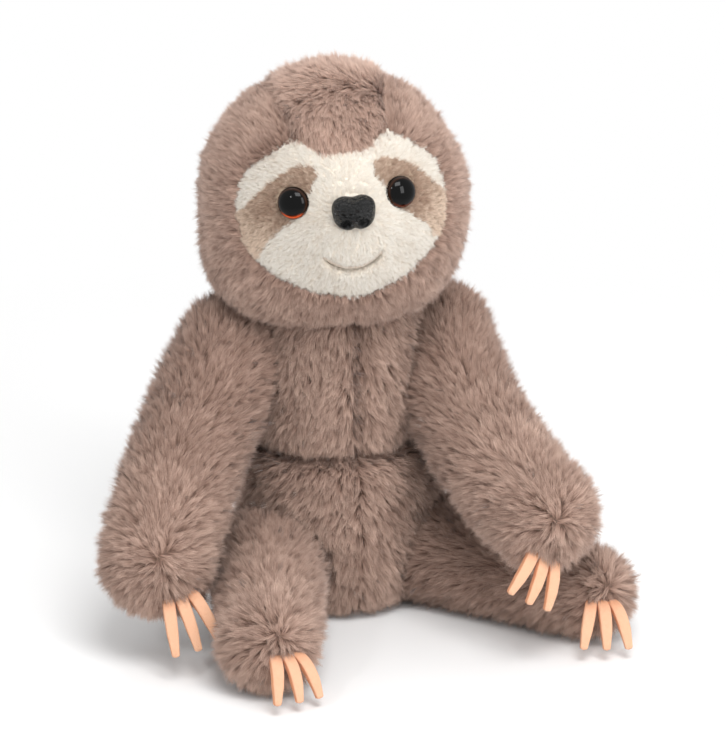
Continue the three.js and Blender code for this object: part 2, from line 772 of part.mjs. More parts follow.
function buildBody(limbs) {
  head.updateMatrix();
  const headRoom = headForm(-SEAM_GAP - FACET_SAG, HEAD_ROWS, HEAD_ROWS, 0).transform(
    head.matrix.elements,
  );
  const roomsFor = (margin, sides) =>
    limbs.reduce((room, limb) => room.add(sweptRoom(limb, margin, sides)), headRoom);
  const rooms = roomsFor(SWING_GAP, CUTTER_SIDES);
  const outer = bodyForm(0, BODY_SIDES, BODY_ROWS);
  const lining = bodyForm(PLUSH_WALL, LINING_SIDES, LINING_ROWS);
  const neck = block(
    new THREE.Vector3(-NECK_RADIUS, -NECK_RADIUS, BODY_HEIGHT - PLUSH_WALL - OVERRUN),
    new THREE.Vector3(NECK_RADIUS, NECK_RADIUS, BODY_HEIGHT + OVERRUN),
  );
  const cover = outer.subtract(lining).subtract(neck).subtract(rooms);
  const above = (height) =>
    block(new THREE.Vector3(-ROOM, -ROOM, height), new THREE.Vector3(ROOM, ROOM, ROOM));
  const below = (height) =>
    block(new THREE.Vector3(-ROOM, -ROOM, -ROOM), new THREE.Vector3(ROOM, ROOM, height));
  const seam = SEAM_GAP / 2;
  const chest = cover.intersect(above(WAIST_HEIGHT + seam));
  addPiece(
    toy,
    "chest_cover_left",
    chest.intersect(block(new THREE.Vector3(seam, -ROOM, 0), new THREE.Vector3(ROOM, ROOM, ROOM))),
    longPlush,
  );
  addPiece(
    toy,
    "chest_cover_right",
    chest.intersect(block(new THREE.Vector3(-ROOM, -ROOM, 0), new THREE.Vector3(-seam, ROOM, ROOM))),
    longPlush,
  );
  addPiece(toy, "belly_cover", cover.intersect(below(WAIST_HEIGHT - seam)), longPlush);

  const inside = bodyForm(PLUSH_WALL + SEAM_GAP, LINING_SIDES, LINING_ROWS).subtract(
    roomsFor(SWING_GAP + PLUSH_WALL / 2, HOLLOW_SIDES),
  );
  const chestFilling = inside.intersect(above(WAIST_HEIGHT + seam));
  addPiece(toy, "chest_filling", largestBody(chestFilling), stuffing);
  const bellyFilling = inside.intersect(below(WAIST_HEIGHT - seam)).subtract(beadBag(SEAM_GAP));
  addPiece(toy, "belly_filling", largestBody(bellyFilling), stuffing);
  addPiece(toy, "bead_bag", beadBag(0), beadCloth);
}

// The bag of beads lies on the floor of the belly cover, a low cushion with a round edge.
function beadBag(margin) {
  const floor = PLUSH_WALL + SEAM_GAP - (margin ? OVERRUN : 0);
  const top = PLUSH_WALL + SEAM_GAP + BEAD_BAG_HEIGHT + margin;
  const half = BEAD_BAG_HEIGHT / 2;
  const radius = BEAD_BAG_RADIUS + margin;
  const edge = beadBagEdgeShares.map(([inward, down]) => [
    radius - half * inward,
    Math.max(floor, top - half * down),
  ]);
  return turned(
    [[0, floor], [edge[0][0], floor], ...edge.slice(1), [0, top]],
    SMALL_SIDES,
    new THREE.Vector3(0, BEAD_BAG_BACK, 0),
    Z_AXIS,
  );
}

const shoulder = (sign) =>
  new THREE.Vector3(sign * (BODY_RADIUS + SHOULDER_PROUD), 0, BODY_HEIGHT - SHOULDER_DROP);
const hip = (sign) =>
  new THREE.Vector3(sign * HIP_ACROSS, -HIP_FRONT, THIGH_RADIUS - FLOOR_PRESS);

// An arm lifts in the upright plane through its shoulder and its paw.
function liftAxis(shape, sign) {
  return new THREE.Vector3(sign * shape.reach.out, -shape.reach.front, 0)
    .normalize()
    .cross(Z_AXIS);
}

const arm = (name, shape, sign) =>
  settleLimb(name, shape, sign, {
    pivot: shoulder(sign),
    radii: [SHOULDER_RADIUS, FOREARM_RADIUS, HAND_RADIUS],
    clawDrop: HAND_CLAW_DROP,
    guide: X_AXIS,
    swingAxis: liftAxis(shape, sign),
  });
const leg = (name, shape, sign) =>
  settleLimb(name, shape, sign, {
    pivot: hip(sign),
    radii: [THIGH_RADIUS, SHIN_RADIUS, FOOT_RADIUS],
    clawDrop: FOOT_CLAW_DROP,
    guide: Z_AXIS,
    swingAxis: Z_AXIS,
  });
const limbs = [
  arm("arm_right", armRight, -1),
  arm("arm_left", armLeft, 1),
  leg("leg_right", legRight, -1),
  leg("leg_left", legLeft, 1),
];

buildHead();
buildBody(limbs);
limbs.forEach(buildLimb);

export default toy;
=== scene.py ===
# %% [markdown]
# # A seated plush sloth
# A plush toy is sewn from flat panels of cloth with a pile, turned the right way out and filled with loose fibre.
# What the eye sees is almost only pile: hundreds of thousands of fine hairs, gathered in tufts, dark at the root
# where little light gets in and pale at the tip. So this script makes two things for each panel: the cloth, as a
# smooth surface, and the pile, as thin tapered blades that stand on it. The small hard parts come last.

import json
import math

import bmesh
import bpy
import numpy as np
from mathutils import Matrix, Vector


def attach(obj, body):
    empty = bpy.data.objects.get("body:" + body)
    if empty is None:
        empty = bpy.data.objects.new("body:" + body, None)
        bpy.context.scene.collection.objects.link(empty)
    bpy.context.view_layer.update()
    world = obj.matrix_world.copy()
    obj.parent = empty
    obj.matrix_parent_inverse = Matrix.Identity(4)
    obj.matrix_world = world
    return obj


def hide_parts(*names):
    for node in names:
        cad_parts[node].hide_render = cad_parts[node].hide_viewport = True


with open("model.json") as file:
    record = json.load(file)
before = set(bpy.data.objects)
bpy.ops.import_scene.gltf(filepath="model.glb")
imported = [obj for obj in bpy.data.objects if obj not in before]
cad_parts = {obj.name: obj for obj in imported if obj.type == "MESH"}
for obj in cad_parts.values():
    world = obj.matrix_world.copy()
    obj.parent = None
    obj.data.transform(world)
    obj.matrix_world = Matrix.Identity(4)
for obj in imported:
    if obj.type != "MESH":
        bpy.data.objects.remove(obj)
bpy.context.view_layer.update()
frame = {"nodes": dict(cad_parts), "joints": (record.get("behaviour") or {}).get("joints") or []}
MM = 0.001
joint_of = {joint["child"]: joint for joint in frame["joints"]}

# %% [markdown]
# ## Camera
# The camera stands to the toy's right, a little above it, and far enough away that the picture is almost flat, as
# product photographs are. Its target is set so that the middle of the seat falls on the right spot of the picture.

# %% Camera
VIEW_TURN = -18.0  # degrees round the toy from its front
VIEW_RISE = 18.0  # degrees above the floor
VIEW_DISTANCE = 1400.0  # this and the next four in millimetres
VIEW_ACROSS, VIEW_UP = 11.97, 90.72  # from the toy's origin to the target, across the picture and up it
LENS, SENSOR = 160.0, 36.0
CLIP_END = 20.0  # metres


def view_axes(turn, rise):
    """Right, up and backward unit vectors of a camera that looks at the toy from a turn and a rise, in degrees."""
    turn, rise = math.radians(turn), math.radians(rise)
    back = np.array([math.sin(turn) * math.cos(rise), -math.cos(turn) * math.cos(rise), math.sin(rise)])
    right = np.array([math.cos(turn), math.sin(turn), 0.0])
    return right, np.cross(back, right), back


def put(name, data):
    """A new object of the data, in the scene."""
    made = bpy.data.objects.new(name, data)
    bpy.context.scene.collection.objects.link(made)
    return made


def stand(thing, place, backward):
    """Stands a camera or a lamp at a place in metres, so that it looks against the backward direction."""
    thing.location = place
    thing.rotation_euler = backward.to_track_quat("Z", "Y").to_euler()


right, up, back = view_axes(VIEW_TURN, VIEW_RISE)
target = VIEW_ACROSS * right + VIEW_UP * up
camera_data = bpy.data.cameras.new("camera")
camera_data.lens = LENS
camera_data.sensor_width = SENSOR
camera_data.clip_end = CLIP_END
camera = put("camera", camera_data)
stand(camera, Vector((target + VIEW_DISTANCE * back) * MM), Vector(back))
bpy.context.scene.camera = camera
print("camera at", [round(v, 3) for v in camera.location])

# %% [markdown]
# ## Light and floor
# A large soft lamp in front and above gives the form, a second one on the right shows as a window in the eyes, a
# small one makes the spark beside it, a weak one behind lifts the edges, and a pale world does the rest. What the
# camera sees of the world is white, also through glass and in metal. The floor is nearly white: round the toy it
# keeps the soft shadow, and further out it eases into that same white.

# %% Light and floor
LIGHTS = {
    # name: direction from the toy (turn and rise in degrees), distance, width and height in metres, watts
    "key": (-4.0, 55.0, 1.5, 0.75, 0.6, 13.3),
    "window": (20.0, 20.0, 1.4, 0.4, 0.75, 6.0),
    "spark": (-52.0, 34.0, 1.3, 0.08, 0.08, 1.2),
    "back": (165.0, 62.0, 1.6, 1.2, 1.0, 3.0),
}
LIT_PLACE = Vector((0.0, 0.0, 0.11))  # metres: the middle of the toy, which every lamp looks at
WORLD_STRENGTH = 0.58
BACKGROUND_RAYS = ("Is Camera Ray", "Is Glossy Ray", "Is Transmission Ray")  # the rays that meet a white background
for name, (turn, rise, distance, wide, high, watts) in LIGHTS.items():
    lamp = bpy.data.lights.new(name, "AREA")
    lamp.shape = "RECTANGLE"
    lamp.size = wide
    lamp.size_y = high
    lamp.energy = watts
    toward = Vector(view_axes(turn, rise)[2])
    stand(put(name, lamp), toward * distance + LIT_PLACE, toward)


class Value:
    """A shader socket whose value can be used in Python expressions; each operator adds a Math node."""

    def __init__(self, shader, socket):
        self.shader = shader
        self.socket = socket

    def _with(self, operation, *others):
        """A Math node whose first value is this one."""
        return self.shader.node("ShaderNodeMath", {"operation": operation}, (self, *others))

    def __add__(self, other):
        return self._with("ADD", other)

    def __sub__(self, other):
        return self._with("SUBTRACT", other)

    def __mul__(self, other):
        return self._with("MULTIPLY", other)

    def __truediv__(self, other):
        return self._with("DIVIDE", other)

    def __pow__(self, other):
        return self._with("POWER", other)

    def __rsub__(self, other):
        return self.shader.node("ShaderNodeMath", {"operation": "SUBTRACT"}, (other, self))

    __radd__ = __add__
    __rmul__ = __mul__

    def at_least(self, other):
        """The larger of two values."""
        return self._with("MAXIMUM", other)

    def at_most(self, other):
        """The smaller of two values."""
        return self._with("MINIMUM", other)

    def as_share(self):
        """Kept between 0 and 1."""
        return self.at_least(0.0).at_most(1.0)


MAP = "OFBake"  # the map that the colours read: on the pile the tuft's tone across, root to tip upwards


class Shader:
    """A material with a Principled surface, and one method that adds any other node."""

    def __init__(self, name, **constants):
        self.material = bpy.data.materials.new(name)
        self.material.use_nodes = True
        self.tree = self.material.node_tree
        self.surface = self.tree.nodes["Principled BSDF"]
        for socket, value in constants.items():
            self.surface.inputs[socket.replace("_", " ")].default_value = value

    def node(self, kind, settings, values=(), output=0):
        """Adds a node of a kind: its settings first, then a value or a link for each named or counted input."""
        made = self.tree.nodes.new(kind)
        for key, value in settings.items():
            if key == "stops":
                ramp = made.color_ramp
                while len(ramp.elements) < len(value):
                    ramp.elements.new(1.0)
                for element, (place, colour) in zip(ramp.elements, value):
                    element.position = place
                    element.color = (*colour, 1.0)
            else:
                setattr(made, key, value)
        pairs = values.items() if isinstance(values, dict) else enumerate(values)
        for key, value in pairs:
            if isinstance(value, Value):
                self.tree.links.new(value.socket, made.inputs[key])
            else:
                made.inputs[key].default_value = value
        return Value(self, made.outputs[output])

    def feed(self, socket, value):
        """Links a value to a socket of the surface."""
        self.tree.links.new(value.socket, self.surface.inputs[socket])

    def mix(self, share, first, second):
        """A colour between two colours, by a share from 0 to 1."""
        values = {0: share, 6: first, 7: second}
        return self.node("ShaderNodeMix", {"data_type": "RGBA"}, values, output=2)

    def own_map(self):
        """The two values of the piece's own UV map, across and up."""
        place = self.node("ShaderNodeUVMap", {"uv_map": MAP})
        across = self.node("ShaderNodeSeparateXYZ", {}, (place,))
        return across, Value(self, across.socket.node.outputs[1])

    def object_place(self):
        """The place in the piece's own coordinates, in metres."""
        return self.node("ShaderNodeTexCoord", {}, output=3)

    def bump(self, height, distance, strength):
        """Tilts the surface by a height from 0 to 1 that stands for a distance in metres."""
        values = {"Height": height, "Distance": distance, "Strength": strength}
        self.feed("Normal", self.node("ShaderNodeBump", {}, values))


def rgb(red, green, blue):
    """A colour from the linear light values of its three channels."""
    return (red, green, blue, 1.0)


FLOOR_HALF = 3.0  # metres
SHADOW_REACH, SHADOW_FADE = 0.25, 0.25  # metres: the floor round the toy keeps its shadow, further out it is white
floor_shader = Shader("floor_paint", Base_Color=rgb(0.97, 0.97, 0.97), Roughness=0.9)
place = floor_shader.object_place()
away = floor_shader.node("ShaderNodeVectorMath", {"operation": "LENGTH"}, (place,), output=1)
far = ((away - SHADOW_REACH) / SHADOW_FADE).as_share()
seen = floor_shader.node("ShaderNodeLightPath", {}, output=BACKGROUND_RAYS[0])
for way in BACKGROUND_RAYS[1:]:
    seen = (seen + floor_shader.node("ShaderNodeLightPath", {}, output=way)).at_most(1.0)
white = floor_shader.node("ShaderNodeEmission", {}, {"Color": rgb(1.0, 1.0, 1.0), "Strength": 1.0})
paint = Value(floor_shader, floor_shader.surface.outputs[0])
backdrop = floor_shader.node("ShaderNodeMixShader", {}, (far * seen, paint, white))
floor_shader.tree.links.new(backdrop.socket, floor_shader.tree.nodes["Material Output"].inputs["Surface"])
floor_mesh = bpy.data.meshes.new("floor")
floor_corners = [(sx * FLOOR_HALF, sy * FLOOR_HALF, 0.0) for sx, sy in ((-1, -1), (1, -1), (1, 1), (-1, 1))]
floor_mesh.from_pydata(floor_corners, [], [(0, 1, 2, 3)])
floor_mesh.materials.append(floor_shader.material)
floor_piece = put("floor", floor_mesh)

world = bpy.data.worlds.new("studio")
bpy.context.scene.world = world
world.use_nodes = True
world_tree = world.node_tree
background = world_tree.nodes["Background"]
background.inputs["Color"].default_value = rgb(1.0, 1.0, 1.0)
rays = world_tree.nodes.new("ShaderNodeLightPath")
seen = rays.outputs[BACKGROUND_RAYS[0]]
for way in BACKGROUND_RAYS[1:]:
    either = world_tree.nodes.new("ShaderNodeMath")
    either.operation = "MAXIMUM"
    world_tree.links.new(seen, either.inputs[0])
    world_tree.links.new(rays.outputs[way], either.inputs[1])
    seen = either.outputs[0]
level = world_tree.nodes.new("ShaderNodeMapRange")
level.inputs["To Min"].default_value = WORLD_STRENGTH
level.inputs["To Max"].default_value = 1.0
world_tree.links.new(seen, level.inputs["Value"])
world_tree.links.new(level.outputs[0], background.inputs["Strength"])
bpy.context.scene.view_settings.view_transform = "Standard"
print("lamps:", ", ".join(LIGHTS))

# %% [markdown]
# ## Working with arrays of points
# Every shape below is a function of two shares, a and b, each from 0 to 1, that gives points in millimetres in the
# toy's own frame. The helpers here turn such a function into cloth, or find places and normals on it for the pile.

# %% Array helpers
def unit(vectors):
    """Each vector divided by its length."""
    return vectors / np.maximum(np.linalg.norm(vectors, axis=-1, keepdims=True), 1e-9)


def dot(first, second):
    """The dot product along the last axis, kept as a column."""
    return np.sum(first * second, axis=-1, keepdims=True)


def distance(points, place):
    """The length of the way from a place to each point."""
    return np.linalg.norm(points - place, axis=-1)


def smooth(share):
    """0 below 0, 1 above 1 and an even S between: 3s^2 - 2s^3."""
    share = np.clip(share, 0.0, 1.0)
    return share * share * (3.0 - 2.0 * share)


def bell(away, reach):
    """1 at no distance and falling off evenly on both sides: e to the power of -(away / reach)^2."""
    return np.exp(-((away / reach) ** 2))


def round_way(share, first, second):
    """The direction at a share of a full turn that starts at the first direction and goes towards the second."""
    turn = share * 2 * math.pi
    return np.cos(turn)[..., None] * first + np.sin(turn)[..., None] * second


def section_axes(heading, guide):
    """Two directions square to a heading: the guide without its part along the heading, and their cross product."""
    first = unit(guide - dot(heading, guide) * heading)
    return first, np.cross(heading, first)


def lengths_along(points):
    """The length of a line of points up to each of them: the running sum of its steps."""
    return np.concatenate([[0], np.cumsum(np.linalg.norm(np.diff(points, axis=0), axis=-1))])


def boxy(wave, power):
    """A sine or cosine made squarer: its size to a power below one, with its own sign."""
    return np.sign(wave) * np.abs(wave) ** power


def ripples(points, wavelength, seed, count=9):
    """Smooth noise from about -1 to 1: the mean of sines that run along random directions."""
    draw = np.random.default_rng(seed)
    ways_out = unit(draw.normal(size=(count, 3))) * (2 * math.pi / wavelength) * draw.uniform(0.6, 1.5, (count, 1))
    return np.sin(points @ ways_out.T + draw.uniform(0, 2 * math.pi, count)).mean(-1) * 1.9


def catmull(points, samples, closed):
    """A Catmull-Rom curve through points: at share t between two of them it is a cubic in t through both."""
    points = np.asarray(points, float)
    last = len(points)
    place = np.linspace(0, last if closed else last - 1, samples, endpoint=not closed)
    index = np.minimum(place.astype(int), last - 1 if closed else last - 2)
    t = (place - index)[:, None]
    pick = (lambda i: points[i % last]) if closed else (lambda i: points[np.clip(i, 0, last - 1)])
    before, here, there, after = pick(index - 1), pick(index), pick(index + 1), pick(index + 2)
    return 0.5 * (
        2 * here
        + (there - before) * t
        + (2 * before - 5 * here + 4 * there - after) * t**2
        + (3 * here - before - 3 * there + after) * t**3
    )


NUDGE = 2e-3  # the small step, as a share


def slopes(surface, a, b):
    """Differences of a surface along a and along b, taken over a small step and divided by it."""
    a_low, a_high = np.clip(a - NUDGE, 0, 1), np.clip(a + NUDGE, 0, 1)
    b_low, b_high = b - NUDGE, b + NUDGE
    if not surface.round_b:
        b_low, b_high = np.clip(b_low, 0, 1), np.clip(b_high, 0, 1)
    along_a = (surface(a_high, b) - surface(a_low, b)) / (a_high - a_low)[..., None]
    along_b = (surface(a, b_high) - surface(a, b_low)) / (b_high - b_low)[..., None]
    return along_a, along_b


class Surface:
    """A function of two shares with what is known of its edges: whether b closes on itself, and which side is out."""

    def __init__(self, formula, round_b):
        self.formula = formula
        self.round_b = round_b
        a, b = (grid.ravel() for grid in np.meshgrid(np.linspace(0.05, 0.95, 12), np.linspace(0.05, 0.95, 12)))
        places = self(a, b)
        across = np.cross(*slopes(self, a, b))
        self.outward = math.copysign(1.0, np.sum(across * (places - places.mean(0))))

    def __call__(self, a, b):
        return self.formula(a, b)

    def normals(self, a, b):
        """Unit normals that point out of the stuffing: the cross product of the two slopes."""
        return unit(self.outward * np.cross(*slopes(self, np.clip(a, 0.01, 0.99), b)))


def link(mesh, name, body, material):
    """Makes the object of a mesh, gives it its finish and lets it ride on a body of the frame."""
    mesh.materials.append(material)
    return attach(put(name, mesh), body)


def sheet_of(name, surface, rows, columns, body, material, slot, thick=None):
    """Cloth: the surface on a grid of rows and columns, welded where edges and poles meet. With a thickness it is
    an open panel that Solidify closes inwards."""
    a = np.linspace(0, 1, rows)
    b = np.linspace(0, 1, columns)
    grid_a, grid_b = np.meshgrid(a, b, indexing="ij")
    places = surface(grid_a, grid_b).reshape(-1, 3) * MM
    row, column = np.meshgrid(np.arange(rows - 1), np.arange(columns - 1), indexing="ij")
    corner = (row * columns + column).ravel()
    quads = np.stack([corner, corner + columns, corner + columns + 1, corner + 1], axis=1)
    if surface.outward < 0:
        quads = quads[:, ::-1]
    mesh = bpy.data.meshes.new(name)
    mesh.from_pydata(places.tolist(), [], quads.tolist())
    share = mesh.uv_layers.new(name=MAP)
    corners = np.empty(len(mesh.loops), np.int32)
    mesh.loops.foreach_get("vertex_index", corners)
    flat = np.stack([grid_b.ravel(), grid_a.ravel()], axis=1)[corners]
    share.data.foreach_set("uv", flat.ravel())
    work = bmesh.new()
    work.from_mesh(mesh)
    bmesh.ops.remove_doubles(work, verts=work.verts, dist=1e-6)
    bmesh.ops.dissolve_degenerate(work, edges=work.edges, dist=1e-7)
    work.to_mesh(mesh)
    work.free()
    mesh.shade_smooth()
    piece = link(mesh, name, body, material)
    if thick is not None:
        wall = piece.modifiers.new("wall", "SOLIDIFY")
        wall.thickness = thick * MM
        wall.offset = -1.0
    return piece


# %% [markdown]
# ## The pile
# Long plush is a knitted backing with fibres that stand in small bundles. Light goes in between the bundles and is
# lost there, so a pile drawn only as a colour or a bump looks flat. Blender's own hair isn't kept when the toy is
# exported, so each fibre here is a blade, a slim triangle that stands on its short side. Its face is turned outwards,
# and its normals are rounded across, so that a flat blade takes the light like a thin fibre.

# %% Pile
TONE_SPREAD = 0.012  # half width of a blade on its map
BLADE_FOOT, BLADE_TIP = 0.02, 0.98  # where a blade starts and ends up its map
PILE_FLOOR = 0.35  # millimetres: no fibre goes lower than this over the floor
STRAY_RISE = 30  # degrees by which a ruffled tuft stands up more
STRAY_SHADE = 0.25  # and by how much it is darker, because it shows its roots
TUFT_NOISE, BLADE_NOISE = 0.16, 0.08  # how unlike in tone two tufts are, and two blades of one tuft


def spread_places(surface, gap, draw, cells=150):
    """Places spread evenly over a surface, one to a square of the gap: cells of a fine grid are drawn in step with
    the sum of their areas."""
    edges = (np.arange(cells) + 0.5) / cells
    grid_a, grid_b = (grid.ravel() for grid in np.meshgrid(edges, edges, indexing="ij"))
    area = np.linalg.norm(np.cross(*slopes(surface, grid_a, grid_b)), axis=-1) / cells**2
    total = np.cumsum(area)
    count = int(total[-1] / gap**2)
    steps = (np.arange(count) + draw.uniform(0, 1, count)) / count * total[-1]
    cell = np.minimum(np.searchsorted(total, steps), cells * cells - 1)
    a = np.clip(grid_a[cell] + draw.uniform(-0.5, 0.5, count) / cells, 0.001, 0.999)
    b = grid_b[cell] + draw.uniform(-0.5, 0.5, count) / cells
    return a, b if surface.round_b else np.clip(b, 0.001, 0.999)


def blade_mesh(name, points, facing, shade):
    """One mesh of many triangles, each with two points at the root and one at the tip."""
    blades = len(points)
    mesh = bpy.data.meshes.new(name)
    mesh.vertices.add(blades * 3)
    mesh.vertices.foreach_set("co", (points * MM).astype(np.float32).ravel())
    mesh.loops.add(blades * 3)
    mesh.loops.foreach_set("vertex_index", np.arange(blades * 3, dtype=np.int32))
    mesh.polygons.add(blades)
    mesh.polygons.foreach_set("loop_start", np.arange(0, blades * 3, 3, dtype=np.int32))
    mesh.update(calc_edges=True)
    mesh.validate()
    flat = np.empty((blades, 3, 2), np.float32)
    flat[:, :, 0] = shade[:, None] + np.array([-1.0, 1.0, 0.0]) * TONE_SPREAD
    flat[:, :, 1] = [BLADE_FOOT, BLADE_FOOT, BLADE_TIP]
    share = mesh.uv_layers.new(name=MAP)
    share.data.foreach_set("uv", flat.ravel())
    mesh.shade_smooth()
    mesh.normals_split_custom_set_from_vertices(facing.reshape(-1, 3).astype(np.float32))
    return mesh


def pile_of(name, surface, body, material, slot, seed, gap, per_tuft, length, lean, comb, clump, tuft_radius, jitter,
            width, waves, ruffled, keep=None, shorten=None, tone=None, lay=None):
    """Pile: tufts spread over a surface, each a bundle of blades.

    A blade's root lies in a small disc round its tuft's place. Its free direction is the normal leaned towards the
    comb by an angle, with some chance; its tip is the free tip drawn towards the tuft's own tip by the clump share.
    The lean comes and goes in waves, and a ruffled share of the tufts stands up, opens the pile and is painted darker,
    as the shade of the roots it shows. The functions keep, shorten, tone and lay give for a place the chance of a tuft,
    a factor of its length, a shift of its tone, which also carries painted shade and light, and a factor of its lean."""
    draw = np.random.default_rng(seed)
    a, b = spread_places(surface, gap, draw)
    root, normal = surface(a, b), surface.normals(a, b)
    if keep is not None:
        kept = draw.uniform(0, 1, len(root)) < keep(root)
        root, normal = root[kept], normal[kept]
    flow = comb(root)
    flow = unit(flow - dot(flow, normal) * normal)
    side = np.cross(normal, flow)
    wander = ripples(root, 26.0, seed + 1)[:, None] * 0.35 + ripples(root, 9.0, seed + 2)[:, None] * 0.25
    flow = unit(flow + side * wander)  # the comb swings to and fro in long and short waves
    own = 1 + 0.12 * ripples(root, 11.0, seed + 3) + draw.normal(0, 0.06, len(root))
    if shorten is not None:
        own = own * shorten(root)
    reach = length * own
    lean = lean if lay is None else lean * lay(root)
    wave = waves * (0.6 * ripples(root, 17.0, seed + 4) + ripples(root, 6.0, seed + 6))
    stray = draw.uniform(0, 1, len(root)) < ruffled
    tilt = np.radians(lean + wave - STRAY_RISE * stray + draw.normal(0, 4, len(root)))[:, None]
    tuft_way = unit(normal * np.cos(tilt) + flow * np.sin(tilt) + draw.normal(0, jitter, normal.shape))
    tuft_tip = root + tuft_way * reach[:, None]
    # The tufts' own tone, in long and short waves and at random; ruffled tufts get painted shade, and tone adds painted
    # shade and light.
    shade = 0.5 + 0.15 * ripples(root, 18.0, seed + 5) + 0.14 * ripples(root, 5.0, seed + 7)
    shade = shade + draw.normal(0, TUFT_NOISE, len(root)) - STRAY_SHADE * stray
    if tone is not None:
        shade = shade + tone(root)

    def each(values):
        """A tuft's values, once for each of its blades."""
        return np.repeat(values, per_tuft, axis=0)

    turn = draw.uniform(0, 2 * math.pi, len(root) * per_tuft)[:, None]
    away = (tuft_radius * np.sqrt(draw.uniform(0, 1, len(root) * per_tuft)))[:, None]
    outward, way = each(normal), each(tuft_way)
    foot = each(root) + away * (np.cos(turn) * each(flow) + np.sin(turn) * each(side))
    free = unit(way + draw.normal(0, jitter, way.shape))
    share = draw.uniform(0.72, 1.1, len(foot))[:, None]
    tip = foot + free * share * each(reach)[:, None]
    drawn = foot + (each(tuft_tip) - foot) * share
    tip = tip + (drawn - tip) * clump  # the blades of a tuft close up towards its tip
    tip[:, 2] = np.maximum(tip[:, 2], PILE_FLOOR)
    along = unit(tip - foot)
    face = unit(outward - dot(outward, along) * along + 1e-6)
    across = np.cross(along, face)
    twist = draw.uniform(-1.0, 1.0, len(foot))[:, None]
    face, across = (
        np.cos(twist) * face + np.sin(twist) * across,
        np.cos(twist) * across - np.sin(twist) * face,
    )
    half = 0.5 * width * draw.uniform(0.7, 1.25, len(foot))[:, None]
    soft = unit(0.4 * face + 0.6 * outward)  # between the blade's own normal and the cloth's
    leftward, rightward = unit(soft - 0.5 * across), unit(soft + 0.5 * across)
    shade = np.clip(each(shade) + draw.normal(0, BLADE_NOISE, len(foot)), 0.04, 0.96)
    points = np.stack([foot - half * across, foot + half * across, tip], axis=1)
    facing = np.stack([leftward, rightward, soft], axis=1)
    mesh = blade_mesh(name, points, facing, shade)
    link(mesh, name, body, material)
    print(f"{name}: {len(mesh.polygons)} blades of one triangle each")


def sewn_panel(name, node, surface, rows, columns, body, plush, seed, **pile):
    """A panel of plush: its backing over the padding, which stands for its node, and the pile on it."""
    backing, fibres, slot = plush
    cloth = sheet_of(f"{name}_cloth", surface, rows, columns, body, backing, slot, PLUSH_WALL)
    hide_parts(node)
    pile_of(f"{name}_pile", surface, body, fibres, slot, seed, **pile)


# %% [markdown]
# ## Colours of the plush
# The long plush is a warm grey brown. Its colour is read from a small map: across it the tuft's own tone, to which
# the painted shade and light of seams and creases is added, up it the place from root to tip, where the ramps paint
# shade because little light gets in there. No two tufts are quite alike. The face has a short cream pile, and the
# patches round the eyes the same pile in a sandy brown.

# %% Plush materials
def pile_shader(name, dark, pale, sheen):
    """Pile: two ramps from root to tip, a dark and a pale one, each with painted shade at the root, mixed by the tuft's
    tone.
    """
    shader = Shader(name, Roughness=0.75, Sheen_Weight=sheen, Sheen_Roughness=0.5, Specular_IOR_Level=0.25)
    tone, rise = shader.own_map()
    ramps = [shader.node("ShaderNodeValToRGB", {"stops": stops}, (rise,)) for stops in (dark, pale)]
    shader.feed("Base Color", shader.mix(tone, *ramps))
    return shader.material


# Each ramp is darker at the root than at the tip: painted shade, where little light gets in between the fibres.
LONG_DARK = [(0.0, (0.11, 0.052, 0.034)), (0.5, (0.29, 0.176, 0.132)), (1.0, (0.45, 0.305, 0.243))]
LONG_PALE = [(0.0, (0.31, 0.18, 0.13)), (0.5, (0.57, 0.388, 0.31)), (1.0, (0.82, 0.597, 0.487))]
FACE_DARK = [(0.0, (0.62, 0.52, 0.42)), (1.0, (0.72, 0.64, 0.54))]
FACE_PALE = [(0.0, (0.86, 0.80, 0.71)), (1.0, (0.885, 0.855, 0.795))]
PATCH_DARK = [(0.0, (0.22, 0.135, 0.092)), (1.0, (0.44, 0.29, 0.205))]
PATCH_PALE = [(0.0, (0.54, 0.39, 0.285)), (1.0, (0.95, 0.78, 0.63))]
long_pile = pile_shader("long_plush_pile", LONG_DARK, LONG_PALE, 0.35)
face_pile = pile_shader("face_plush_pile", FACE_DARK, FACE_PALE, 0.15)
patch_pile = pile_shader("patch_plush_pile", PATCH_DARK, PATCH_PALE, 0.15)
STITCHES_PER_METRE = 280.0


def backing_shader(name, dark, pale):
    """Knitted backing: rows of small loops as two crossed waves in object coordinates, with a soft blotch."""
    shader = Shader(name, Roughness=0.95, Sheen_Weight=0.2)
    place = shader.object_place()
    blotch = shader.node("ShaderNodeTexNoise", {}, {"Vector": place, "Scale": 90.0, "Detail": 3.0})
    waves = []
    for direction, wander in (("Z", 1.5), ("X", 1.0)):
        values = {"Vector": place, "Scale": STITCHES_PER_METRE, "Distortion": wander}
        waves.append(shader.node("ShaderNodeTexWave", {"bands_direction": direction}, values, 1))
    loops = waves[0] * waves[1]
    shader.feed("Base Color", shader.mix((blotch * 0.6 + loops * 0.5).at_most(1.0), rgb(*dark), rgb(*pale)))
    shader.bump(loops, 0.0003, 0.5)
    return shader.material


long_backing = backing_shader("long_plush_backing", (0.15, 0.092, 0.07), (0.22, 0.142, 0.11))
face_backing = backing_shader("face_plush_backing", (0.84, 0.75, 0.64), (0.90, 0.83, 0.73))
patch_backing = backing_shader("patch_plush_backing", (0.34, 0.24, 0.17), (0.44, 0.33, 0.24))
LONG_PLUSH = (long_backing, long_pile, "long_plush")
FACE_PLUSH = (face_backing, face_pile, "face_plush")
PATCH_PLUSH = (patch_backing, patch_pile, "patch_plush")
print("pile materials:", [pile.name for _, pile, _ in (LONG_PLUSH, FACE_PLUSH, PATCH_PLUSH)])

# %% [markdown]
# ## The head's form
# The head is a stuffed ball, a little square in the jaw, with a muzzle that swells in front. Three panels make its
# hood: a gusset that runs from the brow over the crown to the back, and a side on each hand. In front a face panel
# fills the opening. All share one form, so a panel is a patch of directions, and the form gives each its radius.

